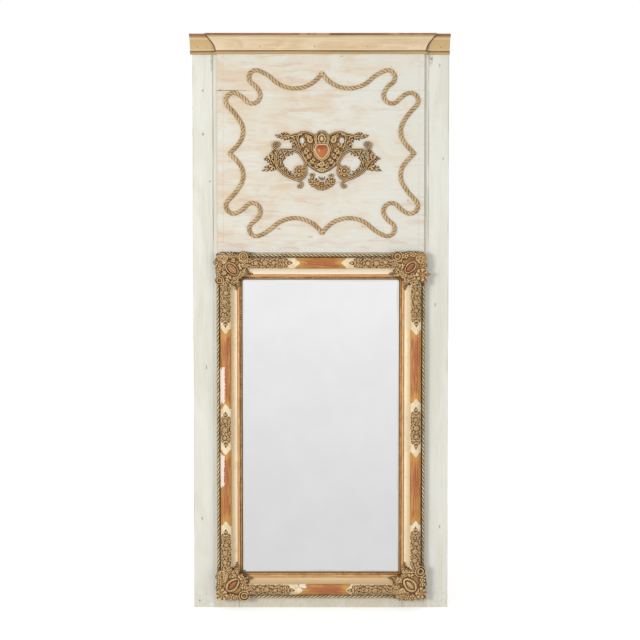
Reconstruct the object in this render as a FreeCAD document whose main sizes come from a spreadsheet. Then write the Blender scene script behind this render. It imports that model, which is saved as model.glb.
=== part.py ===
import FreeCAD, Part
import math
import os
import Sketcher

# A wall-hung trumeau mirror: a painted board carcass with a breakfront cove cornice, a nailed upper panel
# with a twisted rope scroll and a pierced rocaille cartouche, and below it a gilt mitred frame round a plate.
# Millimetres. X runs to the viewer's right, Z up, and the front faces -Y. The wall is the plane Y = 0, and the
# origin is on it, in the middle of the bottom edge.

SIZES = (
    ("carcass_width", 736, "across both side boards"),
    ("board_thickness", 22, "side boards, stiles and rails"),
    ("left_board_width", 59, "left side board"),
    ("right_board_width", 70, "right side board"),
    ("left_stile_width", 69.5, "inner stile beside the left board"),
    ("right_stile_width", 57, "inner stile beside the right board"),
    ("bottom_rail_width", 90, "rail behind the frame's lower side"),
    ("middle_rail_width", 100, "rail behind the gap between frame and panel"),
    ("top_rail_width", 90, "rail behind the cornice"),
    ("tenon_length", 18, "tenon on each end of a rail"),
    ("tenon_thickness", 7, "tenon, front to back"),
    ("tenon_shoulder", 12, "step above and below a tenon"),
    ("joint_clearance", 0.2, "room round a tenon in its mortise"),
    ("batten_thickness", 20, "back battens, which meet the wall"),
    ("batten_width", 60, "back battens, up and down"),
    ("batten_inset", 10, "side board edge to batten end"),
    ("top_batten_drop", 30, "top of the boards to the top batten"),
    ("backboard_thickness", 6, "thin board behind the mirror"),
    ("backboard_overlap", 24, "backboard over the stiles at each side"),
    ("panel_thickness", 10, "boards nailed over the upper carcass"),
    ("panel_inset", 1.5, "side edge of the mirror frame to that of the panel"),
    ("panel_gap", 4.5, "top of the mirror frame to the panel"),
    ("panel_height", 613, "upper panel, up to the cap"),
    ("panel_top_board", 151, "upper board of the panel, up to the cap"),
    ("panel_joint_gap", 0.5, "open joint between the two panel boards"),
    ("cap_thickness", 6, "worn top board of the cornice"),
    ("cap_overhang", 3, "cap past the top of the cove"),
    ("bead_height", 10, "bead under the cove"),
    ("bead_radius", 5.4, "round of that bead"),
    ("cove_height", 38, "hollow of the cornice"),
    ("cove_foot", 4, "cornice face at the foot of the cove, off its back"),
    ("cove_projection", 28, "cornice face at the top of the cove, off its back"),
    ("cove_radius", 52, "round of the cove"),
    ("overhang_left", 6, "cornice past the left board"),
    ("overhang_right", 1, "cornice past the right board"),
    ("frame_width", 598, "mirror frame, outside"),
    ("frame_height", 994, "mirror frame, outside"),
    ("frame_bottom", 32.5, "lower side of the mirror frame"),
    ("frame_rail", 74, "frame moulding, outside edge to sight edge"),
    ("rope_width", 9.4, "twisted edging round the frame"),
    ("rope_side", 4, "straight side of the edging under its round"),
    ("rope_radius", 4.9, "round of the edging"),
    ("rope_margin", 0.5, "edging in from the frame's edge"),
    ("rope_ledge", 16, "height of the ledge under the edging"),
    ("rope_step", 10.5, "width of that ledge"),
    ("band_foot", 24, "outer foot of the convex band"),
    ("band_inner", 42.5, "inner edge of the convex band"),
    ("band_drop", 29, "inner foot of the convex band"),
    ("band_radius", 18, "round of the convex band"),
    ("hollow_top", 27, "top of the cream hollow"),
    ("hollow_width", 16.5, "cream hollow"),
    ("hollow_radius", 19, "round of the hollow"),
    ("pearl_ledge", 15, "foot of the hollow, which carries the bead"),
    ("inner_bead_width", 7, "bead between hollow and sight edge"),
    ("inner_bead_radius", 3.8, "round of that bead"),
    ("sight_ledge", 11, "ledge under the sight strip"),
    ("sight_radius", 4.1, "round of the sight strip"),
    ("sight_margin", 0.3, "sight strip in from both its edges"),
    ("rebate_depth", 8, "rebate behind the sight edge, front to back"),
    ("rebate_width", 9, "rebate behind the sight edge, across"),
    ("glass_thickness", 4, "mirror plate"),
    ("glass_clearance", 2, "room round the plate in the rebate"),
    ("fillet_end_gap", 60, "glazing fillet end to the rebate's corner"),
    ("scroll_width", 11, "rope moulding on the panel, at its foot"),
    ("scroll_crest", 6, "rope moulding on the panel, at its crest"),
    ("scroll_height", 7, "rope moulding on the panel, off the panel"),
    ("scroll_centre_x", 3, "middle of the rope scroll, right of the panel's"),
    ("scroll_margin_top", 47.3, "rope scroll to the cornice, and to the panel's lower edge"),
    ("scroll_margin_side", 22.1, "rope scroll to the panel's side edges"),
    ("cartouche_drop", 18.5, "middle of the scroll to the middle of the cartouche"),
    ("cartouche_plate", 6, "ground of the cartouche"),
    ("cartouche_relief", 11, "scrolls and leaves of the cartouche"),
    ("cabochon_rise", 9, "cabochon over the cartouche's ground"),
    ("ornament_foot", 14, "corner ornaments, lowest, off the carcass"),
    ("ornament_ground", 38, "corner ornaments, their ground, off the carcass"),
    ("ornament_top", 45, "corner ornaments, off the carcass"),
    ("spray_foot", 20, "sprays, lowest, off the carcass"),
    ("spray_leaf_top", 39, "leaves of the sprays, off the carcass"),
    ("spray_flower_top", 43, "flowers of the sprays, off the carcass"),
    ("hanger_drop", 224, "top of the boards to the axis of the hanging rings"),
    ("strap_width", 16, "hanger strap"),
    ("strap_length", 52, "hanger strap below its eye"),
    ("strap_thickness", 1.5, "hanger strap"),
    ("strap_hole", 4.2, "screw hole in a strap"),
    ("strap_sink", 6.6, "countersink of that hole"),
    ("strap_hole_pitch", 22, "between a strap's two holes"),
    ("strap_hole_start", 15, "ring axis to the upper hole"),
    ("ring_wire", 4, "wire of a hanging ring"),
    ("ring_clearance", 0.35, "room round the wire in its eye"),
    ("ring_bend", 5, "bends of the ring at both ends of its bar"),
    ("ring_width", 38, "hanging ring, wire middle to wire middle"),
)

doc = FreeCAD.newDocument("TrumeauMirror")
sheet = doc.addObject("Spreadsheet::Sheet", "Sizes")
for row, (alias, millimetres, note) in enumerate(SIZES, start=1):
    sheet.set("A%d" % row, note)
    sheet.set("B%d" % row, str(millimetres))
    sheet.setAlias("B%d" % row, alias)
doc.recompute()


class Size:
    """A length that carries its value and the expression that ties it to the sheet."""

    def __init__(self, value, text):
        self.value = float(value)
        self.text = text

    def join(self, other, sign, result, swap=False):
        other_text = other.text if isinstance(other, Size) else repr(float(other))
        pair = (other_text, self.text) if swap else (self.text, other_text)
        return Size(result, "(%s %s %s)" % (pair[0], sign, pair[1]))

    def __add__(self, other):
        return self.join(other, "+", self.value + number(other))

    def __radd__(self, other):
        return self.join(other, "+", number(other) + self.value, swap=True)

    def __sub__(self, other):
        return self.join(other, "-", self.value - number(other))

    def __rsub__(self, other):
        return self.join(other, "-", number(other) - self.value, swap=True)

    def __mul__(self, other):
        return self.join(other, "*", self.value * number(other))

    def __rmul__(self, other):
        return self.join(other, "*", number(other) * self.value, swap=True)

    def __truediv__(self, other):
        return self.join(other, "/", self.value / number(other))

    def __neg__(self):
        return 0 - self


def number(length):
    return length.value if isinstance(length, Size) else float(length)


def size(alias):
    return Size(sheet.get(alias), "Sizes." + alias)


def bind(thing, prop, length):
    """Set a property and, when the length comes from the sheet, tie it there."""
    if isinstance(length, Size):
        thing.setExpression(prop, length.text)
    else:
        setattr(thing, prop, length)


UPRIGHT = FreeCAD.Rotation()
pieces = []


def place(thing, spot, turn=UPRIGHT):
    """Put a thing in its place; lengths from the sheet stay tied to it."""
    thing.Placement = FreeCAD.Placement(FreeCAD.Vector(*[number(length) for length in spot]), turn)
    for axis, length in zip("xyz", spot):
        if isinstance(length, Size):
            thing.setExpression("Placement.Base." + axis, length.text)


def piece(thing, label, spot=(0, 0, 0), turn=UPRIGHT):
    """Name a finished sub-part, put it in its place and list it for writing."""
    thing.Label = label
    place(thing, spot, turn)
    pieces.append(thing)
    return thing


# Planes that the pieces share, worked out from the sizes.
half_carcass = size("carcass_width") / 2
carcass_back = -size("batten_thickness")
carcass_front = carcass_back - size("board_thickness")
panel_front = carcass_front - size("panel_thickness")
frame_top = size("frame_bottom") + size("frame_height")
panel_bottom = frame_top + size("panel_gap")
board_top = panel_bottom + size("panel_height")
cornice_bottom = board_top - size("cove_height") - size("bead_height")
inner_left = -half_carcass + size("left_board_width")
inner_right = half_carcass - size("right_board_width")
rail_left = inner_left + size("left_stile_width")
rail_right = inner_right - size("right_stile_width")
rail_length = rail_right - rail_left
half_frame = size("frame_width") / 2
half_panel = half_frame - size("panel_inset")
middle_rail_foot = (frame_top + panel_bottom) / 2 - size("middle_rail_width") / 2


def new_body(name):
    body = doc.addObject("PartDesign::Body", name)
    doc.recompute()
    return body


def new_sketch(body, plane_role, name, offset=0):
    """A sketch on one of the body's own origin planes, moved along that plane's normal by the offset."""
    plane = [feature for feature in body.Origin.OriginFeatures if feature.Role == plane_role][0]
    sketch = body.newObject("Sketcher::SketchObject", name)
    sketch.AttachmentSupport = [(plane, "")]
    sketch.MapMode = "FlatFace"
    sketch.AttachmentOffset.Base.z = number(offset)
    if isinstance(offset, Size):
        sketch.setExpression("AttachmentOffset.Base.z", offset.text)
    return sketch


def vector(x, y, z=0.0):
    return FreeCAD.Vector(number(x), number(y), number(z))


def arc_edge(start, end, radius):
    """The shorter arc from start to end, round on the right of the way when the radius is positive."""
    chord = end - start
    half = chord.Length / 2
    reach = math.sqrt(max(radius * radius - half * half, 0.0))
    left = FreeCAD.Vector(-chord.y, chord.x, 0).normalize()
    centre = (start + end) / 2 + left * (reach if radius > 0 else -reach)
    first, last = (start, end) if radius > 0 else (end, start)
    angles = [math.atan2(point.y - centre.y, point.x - centre.x) for point in (first, last)]
    circle = Part.Circle(centre, FreeCAD.Vector(0, 0, 1), abs(radius))
    return Part.ArcOfCircle(circle, angles[0], angles[1])


def draw(sketch, corners):
    """Close a loop through the corners, anticlockwise. A corner is (x, y) or (x, y, radius): with a radius the
    edge that leaves it is an arc, round outwards when it is positive and hollow when it is negative."""
    first = sketch.GeometryCount
    count = len(corners)
    ends = []
    for index, corner in enumerate(corners):
        following = corners[(index + 1) % count]
        start = vector(corner[0], corner[1])
        end = vector(following[0], following[1])
        if len(corner) == 3:
            sketch.addGeometry(arc_edge(start, end, number(corner[2])), False)
            ends.append((1, 2) if number(corner[2]) > 0 else (2, 1))
        else:
            sketch.addGeometry(Part.LineSegment(start, end), False)
            ends.append((1, 2))
    for index in range(count):
        after = (index + 1) % count
        link = Sketcher.Constraint("Coincident", first + index, ends[index][1], first + after, ends[after][0])
        sketch.addConstraint(link)
    for index, corner in enumerate(corners):
        for kind, length in zip(("DistanceX", "DistanceY"), corner):
            rule = Sketcher.Constraint(kind, -1, 1, first + index, ends[index][0], number(length))
            tie(sketch, rule, length)
        if len(corner) == 3:
            radius = corner[2] if number(corner[2]) > 0 else -corner[2]
            tie(sketch, Sketcher.Constraint("Radius", first + index, number(radius)), radius)


def tie(sketch, rule, length):
    number_of_rule = sketch.addConstraint(rule)
    if isinstance(length, Size):
        sketch.setExpression("Constraints[%d]" % number_of_rule, length.text)


def draw_circle(sketch, x, y, diameter):
    circle = sketch.addGeometry(Part.Circle(vector(x, y), FreeCAD.Vector(0, 0, 1), number(diameter) / 2), False)
    tie(sketch, Sketcher.Constraint("DistanceX", -1, 1, circle, 3, number(x)), x)
    tie(sketch, Sketcher.Constraint("DistanceY", -1, 1, circle, 3, number(y)), y)
    tie(sketch, Sketcher.Constraint("Diameter", circle, number(diameter)), diameter)


def rectangle(x0, y0, x1, y1):
    return [(x0, y0), (x1, y0), (x1, y1), (x0, y1)]


def pad(body, sketch, name, length, both_ways=False):
    feature = body.newObject("PartDesign::Pad", name)
    feature.Profile = sketch
    feature.Midplane = both_ways
    bind(feature, "Length", length)
    return feature


def pocket(body, sketch, name, length=None):
    """Cut along the sketch's normal, to a depth or right through, and make sure that something went."""
    doc.recompute()
    before = body.Shape.Volume
    feature = body.newObject("PartDesign::Pocket", name)
    feature.Profile = sketch
    feature.Reversed = True
    if length is None:
        feature.Type = "ThroughAll"
    else:
        bind(feature, "Length", length)
    doc.recompute()
    if body.Shape.Volume > before - 1e-3:
        raise ValueError("%s cuts nothing" % name)
    return feature


def board(label, x0, x1, y0, y1, z0, z1):
    """A plain sawn board between six planes."""
    box = doc.addObject("Part::Box", label + "_box")
    bind(box, "Length", x1 - x0)
    bind(box, "Width", y1 - y0)
    bind(box, "Height", z1 - z0)
    return piece(box, label, (x0, y0, z0))


def edge_planed_board(label, x0, x1, y0, y1, z0, z1):
    """A board whose long front edges are planed off by a millimetre."""
    body = new_body(label + "_body")
    outline = new_sketch(body, "XY_Plane", label + "_section")
    bevel = 1
    width = x1 - x0
    depth = y1 - y0
    corners = [(bevel, 0), (width - bevel, 0), (width, bevel), (width, depth), (0, depth), (0, bevel)]
    draw(outline, corners)
    pad(body, outline, label + "_length", z1 - z0)
    return piece(body, label, (x0, y0, z0))


# Carcass: side boards, and inner stiles mortised for three rails.
TENON_BACK = (size("board_thickness") - size("tenon_thickness")) / 2
RAILS = (
    ("bottom_rail", Size(0, "0"), size("bottom_rail_width")),
    ("middle_rail", middle_rail_foot, size("middle_rail_width")),
    ("top_rail", board_top - size("top_rail_width"), size("top_rail_width")),
)


def rail(label, foot, width):
    """A rail with a tenon on each end; its front faces the sketch's normal."""
    body = new_body(label + "_body")
    face = new_sketch(body, "XZ_Plane", label + "_face")
    draw(face, rectangle(Size(0, "0"), Size(0, "0"), rail_length, width))
    pad(body, face, label + "_thickness", size("board_thickness"))
    tongue = new_sketch(body, "XZ_Plane", label + "_tongue", TENON_BACK)
    reach = size("tenon_length")
    shoulder = size("tenon_shoulder")
    draw(tongue, rectangle(-reach, shoulder, rail_length + reach, width - shoulder))
    pad(body, tongue, label + "_tenons", size("tenon_thickness"))
    piece(body, label, (rail_left, carcass_back, foot))


def stile(label, x0, width, rail_side):
    """An inner stile with a blind mortise for each rail on the side that the rails come from."""
    body = new_body(label + "_body")
    face = new_sketch(body, "XZ_Plane", label + "_face")
    draw(face, rectangle(Size(0, "0"), Size(0, "0"), width, board_top))
    pad(body, face, label + "_thickness", size("board_thickness"))
    slack = size("joint_clearance")
    depth = size("tenon_length") + slack
    shoulder = size("tenon_shoulder")
    near, far = (width - depth, width) if rail_side == "right" else (Size(0, "0"), depth)
    mortises = new_sketch(body, "XZ_Plane", label + "_mortises", TENON_BACK - slack)
    for rail_label, foot, rail_width in RAILS:
        draw(mortises, rectangle(near, foot + shoulder - slack, far, foot + rail_width - shoulder + slack))
    pocket(body, mortises, label + "_mortise", size("tenon_thickness") + slack * 2)
    piece(body, label, (x0, carcass_back, Size(0, "0")))


FLOOR = Size(0, "0")
edge_planed_board("side_board_left", -half_carcass, inner_left, carcass_front, carcass_back, FLOOR, board_top)
edge_planed_board("side_board_right", inner_right, half_carcass, carcass_front, carcass_back, FLOOR, board_top)
stile("inner_stile_left", inner_left, size("left_stile_width"), "right")
stile("inner_stile_right", rail_right, size("right_stile_width"), "left")
for rail_label, foot, rail_width in RAILS:
    rail(rail_label, foot, rail_width)

# Battens across the back, which meet the wall, and the thin board between them behind the mirror.
batten_feet = {
    "batten_bottom": FLOOR,
    "batten_middle": middle_rail_foot + (size("middle_rail_width") - size("batten_width")) / 2,
    "batten_top": board_top - size("top_batten_drop") - size("batten_width"),
}
batten_left = -half_carcass + size("batten_inset")
for batten_label, foot in batten_feet.items():
    board(batten_label, batten_left, -batten_left, carcass_back, FLOOR, foot, foot + size("batten_width"))
board("mirror_backboard", rail_left - size("backboard_overlap"), rail_right + size("backboard_overlap"),
      carcass_back, carcass_back + size("backboard_thickness"),
      size("batten_width"), batten_feet["batten_middle"])

# Upper panel: two boards nailed over the carcass, with an open joint.
panel_joint = board_top - size("panel_top_board")
edge_planed_board("panel_main_board", -half_panel, half_panel, panel_front, carcass_front,
                  panel_bottom, panel_joint - size("panel_joint_gap"))
edge_planed_board("panel_top_board", -half_panel, half_panel, panel_front, carcass_front, panel_joint, board_top)


# Cornice: a cove over a bead. The middle stands forward by the panel's thickness and returns at both ends, and
# the outer lengths are coped against those returns.
moulding_top = size("bead_height") + size("cove_height")
foot_edge = half_panel + size("cove_foot")
crest_edge = half_panel + size("cove_projection")


def cornice_stick(label, length, lead):
    """The moulding from X = 0, with its back at Y = 0 and its face turned to -Y."""
    body = new_body(label + "_stick")
    section = new_sketch(body, "YZ_Plane", label + "_section")
    foot = -lead - size("cove_foot")
    crest = -lead - size("cove_projection")
    draw(section, [(foot, FLOOR), (FLOOR, FLOOR), (FLOOR, moulding_top), (crest, moulding_top, -size("cove_radius")),
                   (foot, size("bead_height"), size("bead_radius"))])
    pad(body, section, label + "_run", length)
    return body


returns = new_body("cornice_returns")
returns_outline = new_sketch(returns, "XZ_Plane", "cornice_returns_outline")
draw(returns_outline, [(-foot_edge, FLOOR), (foot_edge, FLOOR, size("bead_radius")),
                       (foot_edge, size("bead_height"), -size("cove_radius")), (crest_edge, moulding_top),
                       (-crest_edge, moulding_top, -size("cove_radius")),
                       (-foot_edge, size("bead_height"), size("bead_radius"))])
pad(returns, returns_outline, "cornice_returns_depth", size("panel_thickness") + size("cove_projection") * 2)
place(returns, (FLOOR, carcass_front, cornice_bottom))

centre_stick = cornice_stick("cornice_centre", crest_edge * 2, size("panel_thickness"))
place(centre_stick, (-crest_edge, carcass_front, cornice_bottom))
panel_room = doc.addObject("Part::Box", "cornice_panel_room")
bind(panel_room, "Length", half_panel * 2)
bind(panel_room, "Width", size("panel_thickness"))
bind(panel_room, "Height", moulding_top)
place(panel_room, (-half_panel, panel_front, cornice_bottom))
returned = doc.addObject("Part::Common", "cornice_centre_returned")
returned.Base = centre_stick
returned.Tool = returns
centre = doc.addObject("Part::Cut", "cornice_centre_moulding")
centre.Base = returned
centre.Tool = panel_room
piece(centre, "cornice_centre")

cornice_left = -half_carcass - size("overhang_left")
cornice_right = half_carcass + size("overhang_right")
for end_label, x0, x1 in (("cornice_end_left", cornice_left, -half_panel),
                          ("cornice_end_right", half_panel, cornice_right)):
    stick = cornice_stick(end_label, x1 - x0, FLOOR)
    place(stick, (x0, carcass_front, cornice_bottom))
    coped = doc.addObject("Part::Cut", end_label + "_coped")
    coped.Base = stick
    coped.Tool = returns
    piece(coped, end_label)

cap = new_body("cornice_cap_body")
cap_outline = new_sketch(cap, "XY_Plane", "cornice_cap_outline")
cap_edge = crest_edge + size("cap_overhang")
end_front = carcass_front - size("cove_projection") - size("cap_overhang")
middle_front = end_front - size("panel_thickness")
draw(cap_outline, [(cornice_left, end_front), (-cap_edge, end_front), (-cap_edge, middle_front),
                   (cap_edge, middle_front), (cap_edge, end_front), (cornice_right, end_front),
                   (cornice_right, carcass_back), (cornice_left, carcass_back)])
pad(cap, cap_outline, "cornice_cap_thickness", size("cap_thickness"))
piece(cap, "cornice_cap", (FLOOR, FLOOR, board_top))

# Mirror frame. Each length of moulding is drawn with X along it from its outer mitre, Y from the frame's outside
# edge towards the glass and Z off the carcass.
rail_width = size("frame_rail")
rebate_wall = rail_width - size("rebate_width")
hollow_foot = size("band_inner") + size("hollow_width")
bead_end = hollow_foot + size("inner_bead_width")
FRAME_RAIL = [
    (FLOOR, FLOOR), (rebate_wall, FLOOR), (rebate_wall, size("rebate_depth")), (rail_width, size("rebate_depth")),
    (rail_width, size("sight_ledge")), (bead_end, size("sight_ledge")),
    (bead_end, size("pearl_ledge"), size("inner_bead_radius")),
    (hollow_foot, size("pearl_ledge"), -size("hollow_radius")), (size("band_inner"), size("hollow_top")),
    (size("band_inner"), size("band_drop"), size("band_radius")), (size("rope_step"), size("band_foot")),
    (size("rope_step"), size("rope_ledge")), (FLOOR, size("rope_ledge")),
]
rope_inner = size("rope_margin") + size("rope_width")
rope_shoulder = size("rope_ledge") + size("rope_side")
FRAME_ROPE = [
    (size("rope_margin"), size("rope_ledge")), (rope_inner, size("rope_ledge")),
    (rope_inner, rope_shoulder, size("rope_radius")), (size("rope_margin"), rope_shoulder),
]
SIGHT_STRIP = [
    (bead_end + size("sight_margin"), size("sight_ledge")),
    (rail_width - size("sight_margin"), size("sight_ledge"), size("sight_radius")),
]
FACE_FORWARD = FreeCAD.Rotation(FreeCAD.Vector(1, 0, 0), 90)
FRAME_SIDES = {
    "bottom": (-half_frame, size("frame_bottom"), size("frame_width")),
    "right": (half_frame, size("frame_bottom"), size("frame_height")),
    "top": (half_frame, frame_top, size("frame_width")),
    "left": (-half_frame, frame_top, size("frame_height")),
}


def side_turn(side):
    """The turn that stands a length of moulding on its side of the frame, a quarter further for each side."""
    quarters = list(FRAME_SIDES).index(side)
    return FreeCAD.Rotation(FreeCAD.Vector(0, 1, 0), -90 * quarters).multiply(FACE_FORWARD)


def side_spot(side):
    """The outer mitre where a length of moulding starts."""
    x, z, length = FRAME_SIDES[side]
    return x, carcass_front, z


def moulding(label, side, profile):
    """One side of the frame in the given section, mitred at both ends."""
    length = FRAME_SIDES[side][2]
    body = new_body(label + "_body")
    section = new_sketch(body, "YZ_Plane", label + "_section")
    draw(section, profile)
    pad(body, section, label + "_run", length)
    over = 1
    mitres = new_sketch(body, "XY_Plane", label + "_mitres", -over)
    draw(mitres, [(Size(-over, "(-1)"), Size(-over, "(-1)")), (rail_width + over, rail_width + over),
                  (Size(-over, "(-1)"), rail_width + over)])
    draw(mitres, [(length + over, Size(-over, "(-1)")), (length + over, rail_width + over),
                  (length - rail_width - over, rail_width + over)])
    pocket(body, mitres, label + "_mitre_cut")
    return piece(body, label, side_spot(side), side_turn(side))


rails = {}
ropes = {}
for side in FRAME_SIDES:
    rails[side] = moulding("frame_rail_" + side, side, FRAME_RAIL)
    ropes[side] = moulding("frame_rope_" + side, side, FRAME_ROPE)
for side in FRAME_SIDES:
    moulding("sight_strip_" + side, side, SIGHT_STRIP)

# The plate lies against the back of the sight edge and is held there by glazing fillets in the rebate.
glass_edge = rebate_wall + size("glass_clearance")
glass_front = carcass_front - size("rebate_depth")
glass_back = glass_front + size("glass_thickness")
board("mirror_glass", -half_frame + glass_edge, half_frame - glass_edge, glass_front, glass_back,
      size("frame_bottom") + glass_edge, frame_top - glass_edge)
fillet_inner = rail_width - size("glass_clearance")
fillet_end = rail_width + size("fillet_end_gap")
for side_label, turned in (("left", 1), ("right", -1)):
    near = rebate_wall - half_frame
    far = fillet_inner - half_frame
    x0, x1 = (near, far) if turned > 0 else (-far, -near)
    board("glazing_fillet_" + side_label, x0, x1, glass_back, carcass_front,
          size("frame_bottom") + fillet_end, frame_top - fillet_end)
for side_label, z0, z1 in (("bottom", size("frame_bottom") + rebate_wall, size("frame_bottom") + fillet_inner),
                           ("top", frame_top - fillet_inner, frame_top - rebate_wall)):
    board("glazing_fillet_" + side_label, -half_frame + fillet_end, half_frame - fillet_end, glass_back,
          carcass_front, z0, z1)


# Relief work. These functions give solids drawn on the XY plane with their relief along Z. Bent lines are drawn
# as chords, as a carver sets them out, each over no more than this turn in degrees.
OUT = FreeCAD.Vector(0, 0, 1)
CHORD_TURN = 18


def joined(solids):
    return solids[0].multiFuse(solids[1:]).removeSplitter()


def around(x, y, radii):
    """Points round a centre, one for each radius."""
    step = 2 * math.pi / len(radii)
    return [(x + radius * math.cos(step * order), y + radius * math.sin(step * order))
            for order, radius in enumerate(radii)]


def flat_sided(near, far):
    """A solid between two flat rings of points whose sides lie flat too."""
    faces = [Part.Face(Part.makePolygon(ring + ring[:1])) for ring in (near, far)]
    for order in range(len(near)):
        after = (order + 1) % len(near)
        faces.append(Part.Face(Part.makePolygon([near[order], near[after], far[after], far[order], near[order]])))
    solid = Part.Solid(Part.Shell(faces))
    return solid if solid.Volume > 0 else solid.reversed()


def frustum(low, high, foot, top):
    """A solid between two outlines of the same shape at two heights."""
    return flat_sided([vector(x, y, foot) for x, y in low], [vector(x, y, top) for x, y in high])


def slab(outline, foot, top):
    """A straight-sided plate between two heights."""
    return frustum(outline, outline, foot, top)


def stub(x, y, foot_radius, crest_radius, foot, top, sides=8):
    """A many-sided boss that tapers from its foot to its crest."""
    return frustum(around(x, y, [foot_radius] * sides), around(x, y, [crest_radius] * sides), foot, top)


def tangent_path(start, heading, radii, turns):
    """Points and leftward directions along tangent arcs. Each has a radius and a turn in degrees, left positive."""
    here = vector(*start)
    way = math.radians(heading)
    left = FreeCAD.Vector(-math.sin(way), math.cos(way), 0)
    stations = [(here, left)]
    for radius, turn in zip(radii, turns):
        chords = math.ceil(abs(turn) / CHORD_TURN)
        centre = here + left * math.copysign(radius, turn)
        for chord in range(1, chords + 1):
            bend = FreeCAD.Rotation(OUT, turn * chord / chords)
            stations.append((centre + bend.multVec(here - centre), bend.multVec(left)))
        here, left = stations[-1]
    return stations


def ribbon(stations, foot, crest, rise):
    """A moulding along those stations that tapers from its foot to its crest."""
    outlines = []
    for width in (foot, crest):
        sides = [[point + left * share * width / 2 for point, left in stations] for share in (1, -1)]
        outlines.append([(point.x, point.y) for point in sides[0] + sides[1][::-1]])
    return frustum(outlines[0], outlines[1], 0, rise)


def bend(start, end, radius, largest_turn, over):
    """The corners that stand for an arc of draw(): on it, or just off it on the side that keeps them over it."""
    centre = arc_edge(start, end, radius).Center
    sweep = math.copysign(2 * math.asin(min((end - start).Length / 2 / abs(radius), 1)), radius)
    count = math.ceil(abs(math.degrees(sweep)) / largest_turn)
    if over and radius > 0:
        shares = [(order + 0.5) / count for order in range(count)]
        reach = 1 / math.cos(sweep / 2 / count)
    else:
        shares = [order / count for order in range(1, count)]
        reach = 1
    return [centre + FreeCAD.Rotation(OUT, math.degrees(sweep * share)).multVec(start - centre) * reach
            for share in shares]


def outline(corners, largest_turn=CHORD_TURN, over=False):
    """Straight-sided points from corners like those of draw()."""
    points = []
    for index, corner in enumerate(corners):
        start = vector(corner[0], corner[1])
        end = vector(*corners[(index + 1) % len(corners)][:2])
        points.append(start)
        if len(corner) == 3:
            points.extend(bend(start, end, number(corner[2]), largest_turn, over))
    return [(point.x, point.y) for point in points]


def leaf(start, end, bulge, foot, top):
    """A pointed leaf between two points; a smaller bulge radius makes it fuller."""
    return slab(outline([(start[0], start[1], bulge), (end[0], end[1], bulge)]), foot, top)


def flower(x, y, radius, foot, top, petals=5):
    """A flower with blunt petals and a raised eye."""
    petal_top = top - 0.2 * radius
    bloom = slab(around(x, y, [0.72 * radius, radius] * petals), foot, petal_top)
    return bloom.fuse(stub(x, y, 0.5 * radius, 0.3 * radius, petal_top, top, petals))


def relief(label, shape, spot, turn=FACE_FORWARD):
    thing = doc.addObject("Part::Feature", label + "_relief")
    thing.Shape = shape
    return piece(thing, label, spot, turn)


# Rope scroll on the panel, one quarter of it and its reflections. It fills the panel between frame and cornice,
# up to its margins; the arcs are those of the real panel, and the fit is 1 there.
SCROLL_HEADING = 240
SCROLL_RADII = (89.5, 118.8, 20.7, 53.9, 23.4, 76.8, 22.4, 206.4, 53.3, 220.3)
SCROLL_TURNS = (-103.6, 23.8, 167.9, -33.4, -164.8, 24.1, 162.6, -15.6, -69.5, -11)
SCROLL_CUSP = 229.5
SCROLL_HALF_HEIGHT = 235.2
SCROLL_HALF_WIDTH = 275.4
scroll_z = (panel_bottom + cornice_bottom) / 2
room_up = (cornice_bottom - panel_bottom) / 2 - size("scroll_margin_top")
room_across = half_panel - size("scroll_margin_side")
scroll_fit = min(room_up.value / SCROLL_HALF_HEIGHT, room_across.value / SCROLL_HALF_WIDTH)
SCROLL_LEAD = 12
panel_width = (half_panel * 2).value
scroll_start = (0, SCROLL_CUSP * scroll_fit)
scroll_path = tangent_path(scroll_start, SCROLL_HEADING, [radius * scroll_fit for radius in SCROLL_RADII],
                           SCROLL_TURNS)
for end, way in ((0, 1), (-1, -1)):
    point, left = scroll_path[end]
    ahead = FreeCAD.Vector(left.y, -left.x, 0)
    scroll_path.insert(0 if way > 0 else len(scroll_path), (point - ahead * SCROLL_LEAD * way, left))
scroll = ribbon(scroll_path, size("scroll_width").value, size("scroll_crest").value, size("scroll_height").value)
quarter = [(0, 0), (0, panel_width), (-panel_width, panel_width), (-panel_width, 0)]
scroll = scroll.common(slab(quarter, 0, size("scroll_height").value))
ACROSS = FreeCAD.Vector(1, 0, 0)
DOWN = FreeCAD.Vector(0, 1, 0)
scroll_right = scroll.mirror(FreeCAD.Vector(), ACROSS)
scroll_spot = (size("scroll_centre_x"), panel_front, scroll_z)
relief("rope_scroll_top_left", scroll, scroll_spot)
relief("rope_scroll_top_right", scroll_right, scroll_spot)
relief("rope_scroll_bottom_left", scroll.mirror(FreeCAD.Vector(), DOWN), scroll_spot)
relief("rope_scroll_bottom_right", scroll_right.mirror(FreeCAD.Vector(), DOWN), scroll_spot)


# Cartouche: a pierced ground with a hood and a cabochon, a scrolled wing on each side with a rosette in its
# spiral, and a palmette below. Places are measured from the middle of the cartouche on the real panel.
def fitted(corners):
    """The same places and radii in this panel's scale."""
    return [tuple(length * scroll_fit for length in corner) for corner in corners]


def scrolled(start, heading, radii, turns, foot, crest):
    """A curl of the cartouche, at the height of its relief."""
    path = tangent_path(fitted([start])[0], heading, fitted([radii])[0], turns)
    return ribbon(path, foot, crest, relief_top)


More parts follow.
